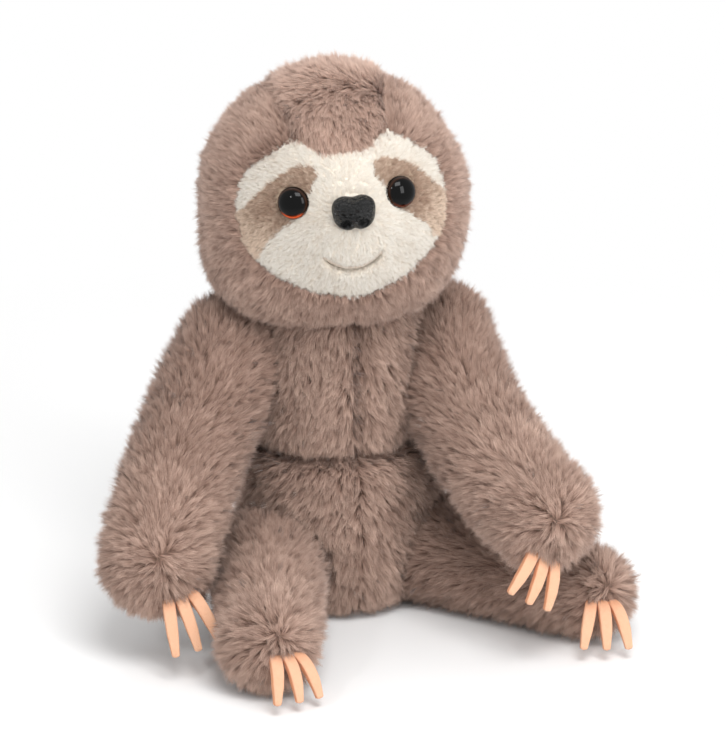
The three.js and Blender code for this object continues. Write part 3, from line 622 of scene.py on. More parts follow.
# %% Head form
HEAD_RADIUS = 53.3
HEAD_AT = np.array([0.0, -5.0, 175.5])  # the ball's middle, straight over its joint
HEAD_TURN = math.radians(-12.2)
HEAD_TILT = math.radians(-4.5)
JAW_POWER = 2.7
JAW_MORE = 0.9  # on its right side, where it rests on the shoulder
CROWN_FLAT = 2.6  # the left of the crown is stuffed a little flatter
MUZZLE_PROUD = 5.0
MUZZLE_TIGHTNESS = 13.0
MUZZLE_AIM = unit(np.array([0.02, -1.0, -0.1]))
SKIN_DEPTH = 3.0  # how far the backing of the hood's sides lies under the tips of their pile
GUSSET_DEPTH = 2.3  # the same for the gusset, whose pile lies flatter
FACE_DEPTH = 2.4  # the same for the face
SEAM_PULL = 1.3  # how deep a seam pulls the backing in
SEAM_REACH = 2.6
about_upright = np.array(
    [[math.cos(HEAD_TURN), -math.sin(HEAD_TURN), 0], [math.sin(HEAD_TURN), math.cos(HEAD_TURN), 0], [0, 0, 1]]
)
tilt_head = np.array(
    [[math.cos(HEAD_TILT), 0, math.sin(HEAD_TILT)], [0, 1, 0], [-math.sin(HEAD_TILT), 0, math.cos(HEAD_TILT)]]
)
turn_head = about_upright @ tilt_head
SWELL = 3.0  # the right cheek is stuffed a little fuller
SWELL_FROM, SWELL_OVER = 18.0, 32.0


def on_toy(points):
    """From the head's own frame to the toy's: its right side let out, leaned over, turned, then lifted to the neck."""
    points = points.copy()
    points[..., 0] -= SWELL * smooth((-points[..., 0] - SWELL_FROM) / SWELL_OVER)
    return points @ turn_head.T + HEAD_AT


def in_head(points):
    """Back from the toy's frame to the head's own; the swelling is found by repeated correction."""
    points = (points - HEAD_AT) @ turn_head
    let_out = points[..., 0].copy()
    for _ in range(4):
        points[..., 0] = let_out + SWELL * smooth((-points[..., 0] - SWELL_FROM) / SWELL_OVER)
    return points


def head_reach(ways_out, inset):
    """Radius in unit directions: a ball, below its middle a super-ball, plus the muzzle's power of a cosine. The jaw
    hangs straight down while the face leans, so the ball follows the upright direction."""
    upright = ways_out @ tilt_head.T
    power = np.where(upright[..., 2] < 0, JAW_POWER + JAW_MORE * smooth(-1.4 * upright[..., 0]), 2.0)
    level = np.hypot(upright[..., 0], upright[..., 1])
    ball = HEAD_RADIUS * (level**power + np.abs(upright[..., 2]) ** power) ** (-1 / power)
    flat = CROWN_FLAT * smooth(2 * np.maximum(upright[..., 0], 0) * np.maximum(upright[..., 2], 0))
    return ball - flat - inset + MUZZLE_PROUD * np.maximum(0, ways_out @ MUZZLE_AIM) ** MUZZLE_TIGHTNESS


def on_head(across, rise, inset):
    """The point of the head's front with a given place across and up, found by repeated correction of its depth."""
    forward = np.full(np.shape(across), HEAD_RADIUS)
    for _ in range(14):
        ways_out = unit(np.stack([across, -forward, rise], axis=-1))
        reach = head_reach(ways_out, inset)
        forward = np.sqrt(np.maximum(reach**2 - across**2 - rise**2, 1.0))
    return np.stack([across, -forward, rise], axis=-1)


FACE_HALF_SHARES = [
    (0.0, 0.495), (0.17, 0.505), (0.335, 0.585), (0.5, 0.51), (0.65, 0.385), (0.742, 0.2),
    (0.758, -0.02), (0.71, -0.2), (0.595, -0.35), (0.44, -0.46), (0.23, -0.55), (0.0, -0.595),
]
PATCH_SHARES = [
    (0.2, 0.345), (0.225, 0.41), (0.33, 0.41), (0.43, 0.365), (0.55, 0.275), (0.66, 0.155), (0.78, 0.0),
    (0.84, -0.24), (0.65, -0.27), (0.6, -0.17), (0.545, -0.095), (0.44, 0.0), (0.335, 0.095), (0.265, 0.23),
]
GUSSET_SHARES = [
    (20, 0.37), (45, 0.38), (65, 0.41), (90, 0.47), (120, 0.45), (150, 0.37), (180, 0.27), (205, 0.15), (213, 0.0),
]
PATCH_CENTRE_SHARE = (0.47, 0.16)
face_half = np.array(FACE_HALF_SHARES) * HEAD_RADIUS
face_outline = catmull(np.concatenate([face_half, face_half[-2:0:-1] * [-1, 1]]), 400, closed=True)
patch_outline = catmull(np.array(PATCH_SHARES) * HEAD_RADIUS, 300, closed=True)
patch_centre = np.array(PATCH_CENTRE_SHARE) * HEAD_RADIUS


def polar(outline, centre):
    """An outline as a function of the angle round a centre: a table of angles and radii, read between its rows."""
    away = outline - centre
    angles = np.arctan2(away[:, 1], away[:, 0])
    order = np.argsort(angles)
    angles, reach = angles[order], np.hypot(away[:, 0], away[:, 1])[order]
    return lambda angle: np.interp(np.mod(angle + math.pi, 2 * math.pi) - math.pi, angles, reach, period=2 * math.pi)


face_rim = polar(face_outline, np.zeros(2))
patch_rim = polar(patch_outline, patch_centre)
face_rim_from_patch = polar(face_outline, patch_centre)
gusset_degrees, gusset_half = np.array(GUSSET_SHARES).T
crown_line = face_outline[(face_outline[:, 1] > 0) & (face_outline[:, 0] >= -1e-6) & (face_outline[:, 0] < 30)]
crown_line = crown_line[np.argsort(crown_line[:, 0])]


def half_gusset(degrees):
    """Half the gusset's width at an angle over the crown, read from its table."""
    return np.interp(degrees, gusset_degrees, gusset_half) * HEAD_RADIUS


def fan_angle(points):
    """Degrees about the head's side-to-side axis, from straight ahead up over the crown: -90 to 270."""
    return np.mod(np.degrees(np.arctan2(points[..., 2], -points[..., 1])) + 90, 360) - 90


brow_places = on_head(crown_line[:, 0], crown_line[:, 1], 0)
brow_angle = fan_angle(brow_places)
BROW_DEGREES = 42.0  # about where the gusset starts
GUSSET_LONG = 170  # about its length from the brow to the back
FRINGE_DEGREES = 2.4  # the gusset's seam lies this far above the brow that its fringe shows


def gusset_form(a, b):
    """a runs from the brow over the crown to the back, b across: a band of directions about the sideways axis."""
    across = 2 * b - 1
    edge = np.interp(np.abs(across) * half_gusset(BROW_DEGREES), brow_places[:, 0], brow_angle) + FRINGE_DEGREES
    degrees = edge + a * (gusset_degrees[-1] - edge)
    half = half_gusset(degrees)
    sideways = across * half
    rest = np.sqrt(HEAD_RADIUS**2 - sideways**2)
    turn = np.radians(degrees)
    ways_out = unit(np.stack([sideways, -np.cos(turn) * rest, np.sin(turn) * rest], axis=-1))
    seam = bell((1 - np.abs(across)) * half, SEAM_REACH)
    brow = bell(a * GUSSET_LONG, SEAM_REACH)
    return on_toy(ways_out * head_reach(ways_out, GUSSET_DEPTH + SEAM_PULL * np.maximum(seam, brow))[..., None])


rim_places = unit(on_head(face_outline[:, 0], face_outline[:, 1], 0))
beside_brow = (face_outline[:, 0] > half_gusset(BROW_DEGREES) - 0.4) | (face_outline[:, 1] < 0)
right_half = rim_places[(rim_places[:, 0] > 0) & beside_brow]
right_half = right_half[np.argsort(fan_angle(right_half))]
meet = float(np.interp(half_gusset(BROW_DEGREES), brow_places[:, 0], brow_angle))
low_rim = right_half[fan_angle(right_half) < meet + 0.6]
low_angle = fan_angle(low_rim)
low_open = np.degrees(np.arccos(np.clip(low_rim[:, 0], -1, 1)))


def side_edge(degrees):
    """How far a side panel spreads from its pole, in degrees: to the face's rim, then to the gusset, then halfway."""
    to_face = np.interp(degrees, low_angle, low_open)
    to_gusset = np.degrees(np.arccos(half_gusset(degrees) / HEAD_RADIUS))
    blend = smooth((degrees - meet) / 3.0)
    edge = to_face + (to_gusset - to_face) * blend
    return np.where(degrees > gusset_degrees[-1], 90.0, edge)


def side_form(sign):
    """a runs from the panel's pole beside the ear to its edge, b round it."""

    def formula(a, b):
        degrees = low_angle[0] + np.mod(b, 1.0) * 360
        opening = a * side_edge(degrees)
        turn, tilt = np.radians(degrees), np.radians(opening)
        ways_out = np.stack(
            [sign * np.cos(tilt), -np.sin(tilt) * np.cos(turn), np.sin(tilt) * np.sin(turn)], axis=-1
        )
        to_seam = (1 - a) * np.radians(side_edge(degrees)) * HEAD_RADIUS
        seam = SEAM_PULL * bell(to_seam, SEAM_REACH)
        return on_toy(ways_out * head_reach(ways_out, SKIN_DEPTH + seam)[..., None])

    return formula


SMILE_HALF, SMILE_UP, SMILE_DROP = 11.2, -12.7, 5.0
SMILE_DEEP, SMILE_WIDE = 2.3, 1.9
EYE_ACROSS, EYE_UP, EYE_RADIUS, EYE_DOME, EYE_SEAT = 21.0, 9.2, 6.4, 4.6, 0.9
EYE_AIM = np.array([0.34, -0.93, 0.14])
SOCKET_DEEP, SOCKET_WIDE = 1.0, 9.0
NOSE_ACROSS, NOSE_UP = 1.5, 5.4


def smile_rise(across):
    """The height of the smile at a place across: a parabola that drops in the middle."""
    return SMILE_UP - SMILE_DROP * (1 - (across / SMILE_HALF) ** 2)


def face_inset(across, rise):
    """Depth of the face's backing: drawn in at the rim, along the smile and round the eyes."""
    to_rim = face_rim(np.arctan2(rise, across)) - np.hypot(across, rise)
    rim = 0.7 * bell(np.maximum(to_rim, 0), 2.0) + 0.9 * np.maximum(-to_rim, 0)
    ends = smooth((SMILE_HALF + 1.5 - np.abs(across)) / 2.5)  # the crease runs out just past the smile's ends
    smile = SMILE_DEEP * ends * bell(rise - smile_rise(across), SMILE_WIDE)
    to_eye_squared = (np.abs(across) - EYE_ACROSS) ** 2 + (rise - EYE_UP) ** 2
    socket = SOCKET_DEEP * np.exp(-(to_eye_squared / SOCKET_WIDE**2))
    return FACE_DEPTH + rim + smile + socket


UNDER_HOOD = 3.0  # how far the face goes on under the hood's edge
PATCH_PROUD = 0.25


def face_form(a, b):
    """a runs from the middle of the face to just under the hood's edge, b round it."""
    angle = (b - 0.25) * 2 * math.pi
    reach = a * (face_rim(angle) + UNDER_HOOD)
    across, rise = reach * np.cos(angle), reach * np.sin(angle)
    return on_toy(on_head(across, rise, face_inset(across, rise)))


def patch_form(sign):
    """a runs from the middle of the eye patch to its edge, b round it; it ends at the face's rim."""

    def formula(a, b):
        angle = b * 2 * math.pi
        reach = a * np.minimum(patch_rim(angle), face_rim_from_patch(angle) + UNDER_HOOD)
        across = patch_centre[0] + reach * np.cos(angle)
        rise = patch_centre[1] + reach * np.sin(angle)
        return on_toy(on_head(sign * across, rise, face_inset(across, rise) - PATCH_PROUD))

    return formula


def inside_patch(across, rise, margin):
    """1 inside an eye patch's outline, 0 outside it; a margin makes it larger."""
    across = np.abs(across)
    angle = np.arctan2(rise - patch_centre[1], across - patch_centre[0])
    reach = np.hypot(across - patch_centre[0], rise - patch_centre[1])
    return (reach < patch_rim(angle) + margin).astype(float)


SIGNS = {"left": 1, "right": -1}
gusset = Surface(gusset_form, False)
sides = {name: Surface(side_form(sign), True) for name, sign in SIGNS.items()}
face = Surface(face_form, True)
patches = {name: Surface(patch_form(sign), True) for name, sign in SIGNS.items()}
print("face rim from", round(low_angle[0], 1), "to", round(meet, 1), "degrees; gusset", gusset_half.max())

# %% [markdown]
# ## Sewing the head
# The pile is brushed: on the gusset forward to the brow and, behind the crown, down the back; on the sides away
# from the face, outwards and down into a ruff under the chin. A comb function gives that direction for every place.
# Near a seam the pile is a little shorter, because the cloth turns in there, and painted darker, as shade in the seam;
# under the chin and along the face's rim it has painted shade too, and the gusset has painted light where its pile
# turns. The backing stays a smooth sheet: a cloth simulation would only let it sag where the filling holds it out.

# %% Head cloth and pile
PLUSH_WALL = 1.0  # millimetres of backing
SWIRL_FROM, SWIRL_OVER = 48.0, 54.0  # degrees over which the crown's pile turns from forward to backward
DOWN = np.array([0.0, 0.0, -1.0])


def head_comb_gusset(root):
    """Forward over the brow, backward behind the crown; between the two the pile turns by way of the right side."""
    local = in_head(root)
    turn = np.radians(fan_angle(local))
    onward = np.stack([np.zeros_like(turn), np.sin(turn), np.cos(turn)], axis=-1)
    swirl = math.pi * smooth((np.degrees(turn) - SWIRL_FROM) / SWIRL_OVER)[:, None]
    outward = np.stack([local[:, 0] / HEAD_RADIUS, np.zeros_like(turn), np.zeros_like(turn)], axis=-1)
    rightward = np.array([-1.0, 0.0, 0.0])
    return (0.35 * outward + np.sin(swirl) * rightward - np.cos(swirl) * onward) @ turn_head.T


def head_lay_gusset(points):
    """Flattest over the forehead, where the fringe hangs."""
    return 1.2 - 0.12 * smooth((fan_angle(in_head(points)) - SWIRL_FROM) / SWIRL_OVER)


def head_comb_side(root):
    """Away from the middle of the face, with some of the way back and down; behind the ears down and a little back."""
    local = in_head(root)
    from_face = unit(np.stack([local[:, 0], np.zeros(len(local)), local[:, 2] + 8.0], axis=-1))
    level = smooth((local[:, 2] + 40) / 60)[:, None]  # 0 under the chin, 1 above the eyes
    backward = np.array([0.0, 0.6, 0.0]) * level
    low = smooth((-local[:, 2] - 18) / 22)[:, None]  # 1 in the ruff
    drop = smooth((14 - local[:, 2]) / 34)[:, None]  # 0 on the crown, 1 below the nose
    fall = (0.6 + 0.45 * low) * (1 - 0.6 * low * low) * drop
    in_front = (0.9 * from_face + backward) @ turn_head.T + DOWN * fall
    behind = smooth((local[:, 1] + 4) / 26)[:, None]  # 1 behind the ears
    return in_front * (1 - behind) + (DOWN + 0.5 * backward @ turn_head.T) * behind


def face_comb(root):
    """Away from the nose, which is how a short face pile is brushed."""
    local = in_head(root)
    away = np.stack([local[:, 0], np.zeros(len(local)), local[:, 2] - 4.0], axis=-1)
    return unit(away) @ turn_head.T


def to_gusset_seam(points):
    """Distance across to the seams between the gusset and the sides."""
    local = in_head(points)
    return np.abs(np.abs(local[:, 0]) - half_gusset(fan_angle(local)))


def to_face_rim(local):
    """Distance beyond the face's rim, seen from in front; far from it behind the head."""
    beyond = np.hypot(local[:, 0], local[:, 2]) - face_rim(np.arctan2(local[:, 2], local[:, 0]))
    return np.where(local[:, 1] < 0, beyond, HEAD_RADIUS)


def head_painted_light_and_shade(points):
    """Painted shade at the seams, along the face's rim and in the shade under the chin; painted light on the gusset,
    most of all where its pile turns round, because there the light falls along it and would leave it dark."""
    local = in_head(points)
    angle = fan_angle(local)
    near = bell(to_gusset_seam(points), 1.6) * (angle > 0)
    rim = bell(to_face_rim(local), 2.2)
    under = smooth((-local[:, 2] - 26) / 16)  # 1 under the chin
    turning = bell(angle - SWIRL_FROM - 0.45 * SWIRL_OVER, 15)
    inside = smooth((half_gusset(angle) - np.abs(local[:, 0]) - 1.5) / 6) * (angle > 0)
    return (0.45 + 0.45 * turning) * inside - 0.5 * near - 0.3 * rim - 0.25 * under


def seam_short(points):
    """A quarter shorter at the gusset's seams."""
    return 1 - 0.25 * bell(to_gusset_seam(points), 1.8)


HEAD_PILE = dict(gap=1.03, per_tuft=16, length=5.8, lean=61.0, clump=0.38, tuft_radius=0.9, jitter=0.12, width=0.2,
                 waves=9.0, ruffled=0.06)
sewn_panel("head_gusset", "head_gusset", gusset, 60, 26, "head", LONG_PLUSH, 11,
           comb=head_comb_gusset, tone=head_painted_light_and_shade, shorten=seam_short, lay=head_lay_gusset, **HEAD_PILE)
for name, sign in SIGNS.items():
    sewn_panel(f"head_side_{name}", f"head_side_{name}", sides[name], 34, 72, "head", LONG_PLUSH, 20 + sign,
               comb=head_comb_side, tone=head_painted_light_and_shade, shorten=seam_short, **HEAD_PILE)


EYE_CLEAR = EYE_RADIUS - 0.8  # no pile under an eye


def outside_patches(points):
    """The cream pile stops where a patch starts, at the eyes and under the nose."""
    local = in_head(points)
    eyes = (np.abs(local[:, 0]) - EYE_ACROSS) ** 2 + (local[:, 2] - EYE_UP) ** 2 > EYE_CLEAR**2
    nose = ((local[:, 0] - NOSE_ACROSS) / 8.2) ** 2 + ((local[:, 2] - NOSE_UP) / 6.6) ** 2 > 1
    return (1 - inside_patch(local[:, 0], local[:, 2], -0.4)) * eyes * nose * inside_face(local)


def inside_face(local):
    """1 as far as the hood's edge: what lies under the hood has no pile."""
    angle, reach = np.arctan2(local[:, 2], local[:, 0]), np.hypot(local[:, 0], local[:, 2])
    return (reach < face_rim(angle) - 0.7 - 0.9 * smooth((local[:, 2] - 18) / 8)).astype(float)


def from_eye(local):
    """Distance from the nearer eye's axis, seen from in front."""
    return np.hypot(np.abs(local[:, 0]) - EYE_ACROSS, local[:, 2] - EYE_UP)


def outside_eye(points):
    """A patch's pile stops at the eye and at the hood's edge."""
    local = in_head(points)
    return (from_eye(local) > EYE_CLEAR) * inside_face(local)


def face_tone_and_crease_shade(points):
    """A pale face, with painted shade in the smile's crease."""
    local = in_head(points)
    ends = np.abs(local[:, 0]) < SMILE_HALF
    crease = bell(local[:, 2] - smile_rise(local[:, 0]), 1.2)
    return 0.3 - 0.75 * ends * crease


def patch_tone(points):
    """Darkest next to the eye, sandy at the far ends of the patch."""
    return 0.85 * smooth((from_eye(in_head(points)) - 7) / 16) - 0.42


FACE_PILE = dict(gap=0.78, per_tuft=14, length=2.1, lean=46.0, clump=0.1, tuft_radius=0.6, jitter=0.17, width=0.15,
                 waves=5.0, ruffled=0.0)
sewn_panel("face_panel", "face_panel", face, 44, 96, "head", FACE_PLUSH, 31,
           comb=face_comb, keep=outside_patches, tone=face_tone_and_crease_shade, **FACE_PILE)
for name, sign in SIGNS.items():
    sewn_panel(f"eye_patch_{name}", f"eye_patch_{name}", patches[name], 16, 48, "head", PATCH_PLUSH, 40 + sign,
               comb=face_comb, keep=outside_eye, tone=patch_tone, **FACE_PILE)

# %% [markdown]
# ## The limbs' form
# Each limb is a sewn tube, turned and stuffed: fat at the shoulder, fattest in the forearm, round at the paw. Its
# middle follows a bent path with three control points, and its radius eases from one value to the next along it.

# %% Limb form
LIMB_SKIN = 3.3  # how far the backing lies under the tips of its pile
LIMB_BULGE_SHARE = 0.62
LIMB_STEPS = 26  # places along a limb at which distances to it are taken
PRESSED = 0.9  # the backing over the floor, where the pile is pressed flat
LIMBS = {
    # name: control points of the path, radii at its root, bulge and paw, and the guide for its sections
    "arm_right": ([(-43, 0, 110), (-72.5, -21, 73), (-88.2, -46, 41.5)], (24, 23.4, 23), (1, 0, 0)),
    "arm_left": ([(44.5, 0, 108), (42, -45, 78), (58.5, -86, 58.5)], (23.5, 23.2, 23), (1, 0, 0)),
    "leg_right": ([(-33, -12, 23), (-42, -48, 26), (-55.3, -88.5, 19.1)], (23.5, 21.6, 20.3), (0, 0, 1)),
    "leg_left": ([(33, -12, 22), (57, -46, 19.1), (83.5, -78, 19.1)], (23.6, 20, 18.4), (0, 0, 1)),
}


class Limb:
    """A limb's path, radii and section frame as functions of the share along it."""

    def __init__(self, path, radii, guide):
        self.path = np.array(path, float)
        self.radii = radii
        self.guide = np.array(guide, float)
        along = np.linspace(0, 1, 60)
        self.long = float(np.linalg.norm(np.diff(self.at(along), axis=0), axis=-1).sum())

    def at(self, along):
        """The quadratic Bezier curve: (1-t)^2 root + 2t(1-t) elbow + t^2 paw."""
        t = np.asarray(along)[..., None]
        root, elbow, paw = self.path
        return (1 - t) ** 2 * root + 2 * t * (1 - t) * elbow + t**2 * paw

    def heading(self, along):
        """The unit way of the curve: (1-t) of root to elbow and t of elbow to paw."""
        t = np.asarray(along)[..., None]
        root, elbow, paw = self.path
        return unit((1 - t) * (elbow - root) + t * (paw - elbow))

    def radius(self, along):
        """Eased from the root's radius to the bulge's, and from there to the paw's."""
        root, middle, end = self.radii
        first = root + (middle - root) * smooth(along / LIMB_BULGE_SHARE)
        second = middle + (end - middle) * smooth((along - LIMB_BULGE_SHARE) / (1 - LIMB_BULGE_SHARE))
        return np.where(along < LIMB_BULGE_SHARE, first, second)

    def form(self, inset):
        """A closed surface: a quarter turn round the root's ball, the tube, and a quarter turn round the paw."""

        def formula(a, b):
            root, paw = self.radii[0] - inset, self.radii[2] - inset
            caps = np.array([root, paw]) * math.pi / 2
            far = a * (caps[0] + self.long + caps[1])
            along = np.clip((far - caps[0]) / self.long, 0, 1)
            before = np.clip(1 - far / caps[0], 0, 1) * math.pi / 2
            after = np.clip((far - caps[0] - self.long) / caps[1], 0, 1) * math.pi / 2
            heading = self.heading(along)
            radius = self.radius(along) - inset
            size = radius * np.cos(before) * np.cos(after)
            slide = radius * (np.sin(after) - np.sin(before))
            ring = round_way(b, *section_axes(heading, self.guide))
            points = self.at(along) + slide[..., None] * heading + size[..., None] * ring
            points[..., 2] = np.maximum(points[..., 2], PRESSED + inset - LIMB_SKIN)
            return points

        return formula

    def depth(self, points, margin=0.0):
        """How deep points lie inside the limb's full form, below zero outside it."""
        along = np.linspace(0, 1, LIMB_STEPS)
        middles, radii = self.at(along), self.radius(along) + margin
        deep = [radius - distance(points, middle) for middle, radius in zip(middles, radii)]
        return np.max(deep, axis=0)

    def turned(self, axis, degrees):
        """The limb swung about an axis through its root."""
        axis, turn = unit(np.array(axis, float)), math.radians(degrees)
        away = self.path - self.path[0]
        swung = (
            away * math.cos(turn)
            + np.cross(axis, away) * math.sin(turn)
            + np.outer(away @ axis, axis) * (1 - math.cos(turn))
        )
        return Limb(self.path[0] + swung, self.radii, self.guide)


limbs = {name: Limb(*values) for name, values in LIMBS.items()}
SWING_STEPS = 4
swept = {}
for name, limb in limbs.items():
    joint = joint_of[name]
    low, high = joint["range_deg"]
    swept[name] = [limb.turned(joint["axis"], low + (high - low) * i / SWING_STEPS) for i in range(SWING_STEPS + 1)]
    print(name, "path", round(limb.long, 1), "mm, swings", round(low), "to", round(high), "degrees")

# %% [markdown]
# ## The body's form
# The body is a pear: a belly that sits flat, a waist seam that pulls in, and a chest in two halves with a seam down
# its middle. Where a limb or the head presses on it the cloth gives way, also along the whole way that the limb
# swings, so each place is moved in by as much as it would lie inside the limb.

# %% Body form
BODY_HEIGHT, BODY_RADIUS, BODY_FLATTEN, WAIST_HEIGHT = 143.0, 41.0, 1.5, 70.5
BODY_SHARES = [
    (0.62, 0), (0.88, 0.055), (0.99, 0.15), (1, 0.25), (0.975, 0.36), (0.925, 0.445),
    (0.865, 0.493), (0.91, 0.545), (0.94, 0.65), (0.935, 0.75), (0.9, 0.86), (0.8, 0.965),
]
BODY_SKIN = 3.3  # how far the backing lies under the tips of its pile
CAP_SHARE = 0.16  # the share of a that closes the form below or above
WAIST_PULL, WAIST_REACH = 4.5, 4.0
CHEST_PULL, CHEST_REACH = 3.0, 2.6
MOST_DENT, LEAST_RADIUS = 13.0, 4.0
body_line = catmull(np.array(BODY_SHARES) * [BODY_RADIUS, BODY_HEIGHT], 300, closed=False)
HEAD_ROOM, NECK_PUSH = HEAD_RADIUS + 1.0, 1.25  # a place inside the head's room goes down by more than its depth
FOLD_OUT, FOLD_HEIGHT, FOLD_REACH = 6.5, 49.5, 11.0  # the belly bulges over the left thigh


def limb_dent(points, margin):
    """How far the limbs, at rest and along their swings, press into a place."""
    deep = [limb.depth(points, margin) for steps in swept.values() for limb in steps]
    return np.max(deep, axis=0)


def body_form(low, high, start, sweep, inset=BODY_SKIN):
    """Part of the body over a sweep of turns, from the floor or the waist up to the waist or the neck: a runs up,
    b round. The profile's radius less the seams' pull and the dents; the head's ball pushes the neck down."""

    def formula(a, b):
        close = np.ones_like(a)
        if low <= 0:
            close = np.clip(a / CAP_SHARE, 0, 1)
            rise = (a - CAP_SHARE).clip(0) / (1 - CAP_SHARE) * high
        if high >= BODY_HEIGHT:
            close = np.minimum(close, np.clip((1 - a) / CAP_SHARE, 0, 1))
            rise = low + (BODY_HEIGHT - low) * (a / (1 - CAP_SHARE)).clip(0, 1)
        turn = math.radians(start) + b * math.radians(sweep)
        wide = np.interp(rise, body_line[:, 1], body_line[:, 0]) - inset
        waist = WAIST_PULL * bell(rise - WAIST_HEIGHT, WAIST_REACH)
        middle = CHEST_PULL * bell(wide * np.cos(turn), CHEST_REACH) * (rise > WAIST_HEIGHT)
        wide = wide - waist - middle
        outward = np.stack([np.cos(turn), np.sin(turn) * (1 - BODY_FLATTEN / BODY_RADIUS), 0 * turn], axis=-1)
        level = np.clip(rise, PRESSED + inset - BODY_SKIN, BODY_HEIGHT - inset)
        points = outward * wide[..., None]
        points[..., 2] = level
        dent = np.clip(limb_dent(points, 0.5), 0, MOST_DENT)
        shrink = np.maximum(wide - dent, LEAST_RADIUS) * close
        fold = FOLD_OUT * np.maximum(outward[..., 0], 0) ** 3 * bell(level - FOLD_HEIGHT, FOLD_REACH)
        points = outward * (shrink + fold)[..., None]
        points[..., 2] = level
        near = np.maximum(HEAD_ROOM + inset - BODY_SKIN - distance(points, HEAD_AT), 0)
        points[..., 2] -= near * NECK_PUSH
        return points

    return formula


chest = {
    "left": Surface(body_form(WAIST_HEIGHT, BODY_HEIGHT, -90.0, 180.0), False),
    "right": Surface(body_form(WAIST_HEIGHT, BODY_HEIGHT, 90.0, 180.0), False),
}
belly = Surface(body_form(0.0, WAIST_HEIGHT, 90.0, 360.0), True)
BURIED = 9.0  # how deep a place has to lie for its pile to be left out


def off_limbs(points):
    """No pile where the body is deep under a limb or the head, and none under the seat's middle."""
    buried = np.max([limb.depth(points) for limb in limbs.values()], axis=0)
    in_neck = HEAD_RADIUS - 6.0 - distance(points, HEAD_AT)
    under = (points[:, 2] < PRESSED + 0.5) & (np.hypot(points[:, 0], points[:, 1]) < 0.8 * BODY_RADIUS)
    return ((buried < BURIED) & (in_neck < 0) & ~under).astype(float)


def body_comb(root):
    """Down the body, and a little away from the seam in front."""
    sideways = np.sign(root[:, 0]) * np.exp(-np.abs(root[:, 0]) / 12.0)
    flow = np.tile(DOWN, (len(root), 1))
    flow[:, 0] = 0.45 * sideways
    return flow + 0.25 * unit(root * [1, 1, 0])


def waist_shade(points):
    """Darker where the cloth turns into the waist seam and the seam of the chest."""
    waist = bell(points[:, 2] - WAIST_HEIGHT, 3.0)
    middle = bell(points[:, 0], 2.0) * (points[:, 2] > WAIST_HEIGHT)
    return 0.15 - 0.5 * waist - 0.5 * middle


def waist_short(points):
    """A third shorter at the waist seam."""
    return 1 - 0.35 * bell(points[:, 2] - WAIST_HEIGHT, 3.0)


LONG_PILE = dict(gap=1.32, per_tuft=20, length=6.9, lean=56.0, clump=0.5, tuft_radius=1.15, jitter=0.15,
                 width=0.21, waves=14.0, ruffled=0.22)
BODY_PILE = dict(comb=body_comb, keep=off_limbs, tone=waist_shade, shorten=waist_short, **LONG_PILE)
for name, seed in (("left", 51), ("right", 50)):
    sewn_panel(f"chest_{name}", f"chest_cover_{name}", chest[name], 44, 44, "body", LONG_PLUSH, seed, **BODY_PILE)
sewn_panel("belly", "belly_cover", belly, 50, 84, "body", LONG_PLUSH, 55, **BODY_PILE)

# %% [markdown]
# ## Sewing the limbs
# The pile of a limb does something that is easily missed: it spreads from a whorl on the front of the paw, hangs a
# little over the claws, and runs from there back up the limb, so that an edge of it shows bright against the light.

# %% Limb cloth and pile
WHORLS = {
    # where the pile of each paw spreads from, as a direction from the paw's middle
    "arm_right": (-0.15, -0.93, 0.3),
    "arm_left": (0.02, -0.96, 0.1),
    "leg_right": (0.05, -0.87, 0.48),
    "leg_left": (0.2, -0.86, 0.46),
}
WHORL_REACH = 7.0  # round a whorl the pile stands up, and painted light makes it paler


def limb_comb(limb, whorl):
    """How a limb's pile runs, lies and is shaded: away from the whorl over the paw, and so back up the limb, with
    some of the way down."""
    paw = limb.path[2]
    crown = paw + unit(np.array(whorl)) * limb.radii[2]

    def comb(root):
        """Over the paw away from the whorl, past it against the limb's heading."""
        along = np.linspace(0, 1, LIMB_STEPS)
        nearest = np.argmin([distance(root, middle) for middle in limb.at(along)], axis=0)
        back = -limb.heading(along[nearest])
        drift = np.stack([ripples(root, 8.0, seed) for seed in (71, 72, 73)], axis=-1)
        far = distance(root, crown)[:, None]
        away = unit(root - crown) + 0.75 * drift * bell(far, 13.0)
        share = smooth((distance(root, paw) / limb.radii[2] - 1.1) / 0.5)[:, None]
        return back * share + away * (1 - share) + 0.35 * DOWN

    def lay(points):
        """Steeper round the whorl."""
        return 0.65 + 0.35 * smooth(distance(points, crown) / WHORL_REACH)

    def tone(points):
        """Painted light round the whorl, where the pile stands up, and painted shade towards the root, in the shade of
        the body.
        """
        to_root = distance(points, limb.path[0]) / limb.radii[0]
        at_root = 1 - smooth((to_root - 1.0) / 2.8)
        return 0.3 * bell(distance(points, crown), WHORL_REACH) - 0.38 * at_root

    return comb, lay, tone


def clear_of_body(points):
    """No pile where a limb's root is deep inside the body or the head."""
    profile = np.interp(points[:, 2], body_line[:, 1], body_line[:, 0])
    in_body = profile - np.hypot(points[:, 0], points[:, 1])
    in_head_ball = HEAD_RADIUS - distance(points, HEAD_AT)
    return ((in_body < BURIED) & (in_head_ball < BURIED)).astype(float)


for index, (name, limb) in enumerate(limbs.items()):
    skin = Surface(limb.form(LIMB_SKIN), True)
    comb, lay, tone = limb_comb(limb, WHORLS[name])
    sewn_panel(name, f"{name}_cover", skin, 70, 44, name, LONG_PLUSH, 60 + index,
               comb=comb, lay=lay, tone=tone, keep=clear_of_body, **LONG_PILE)
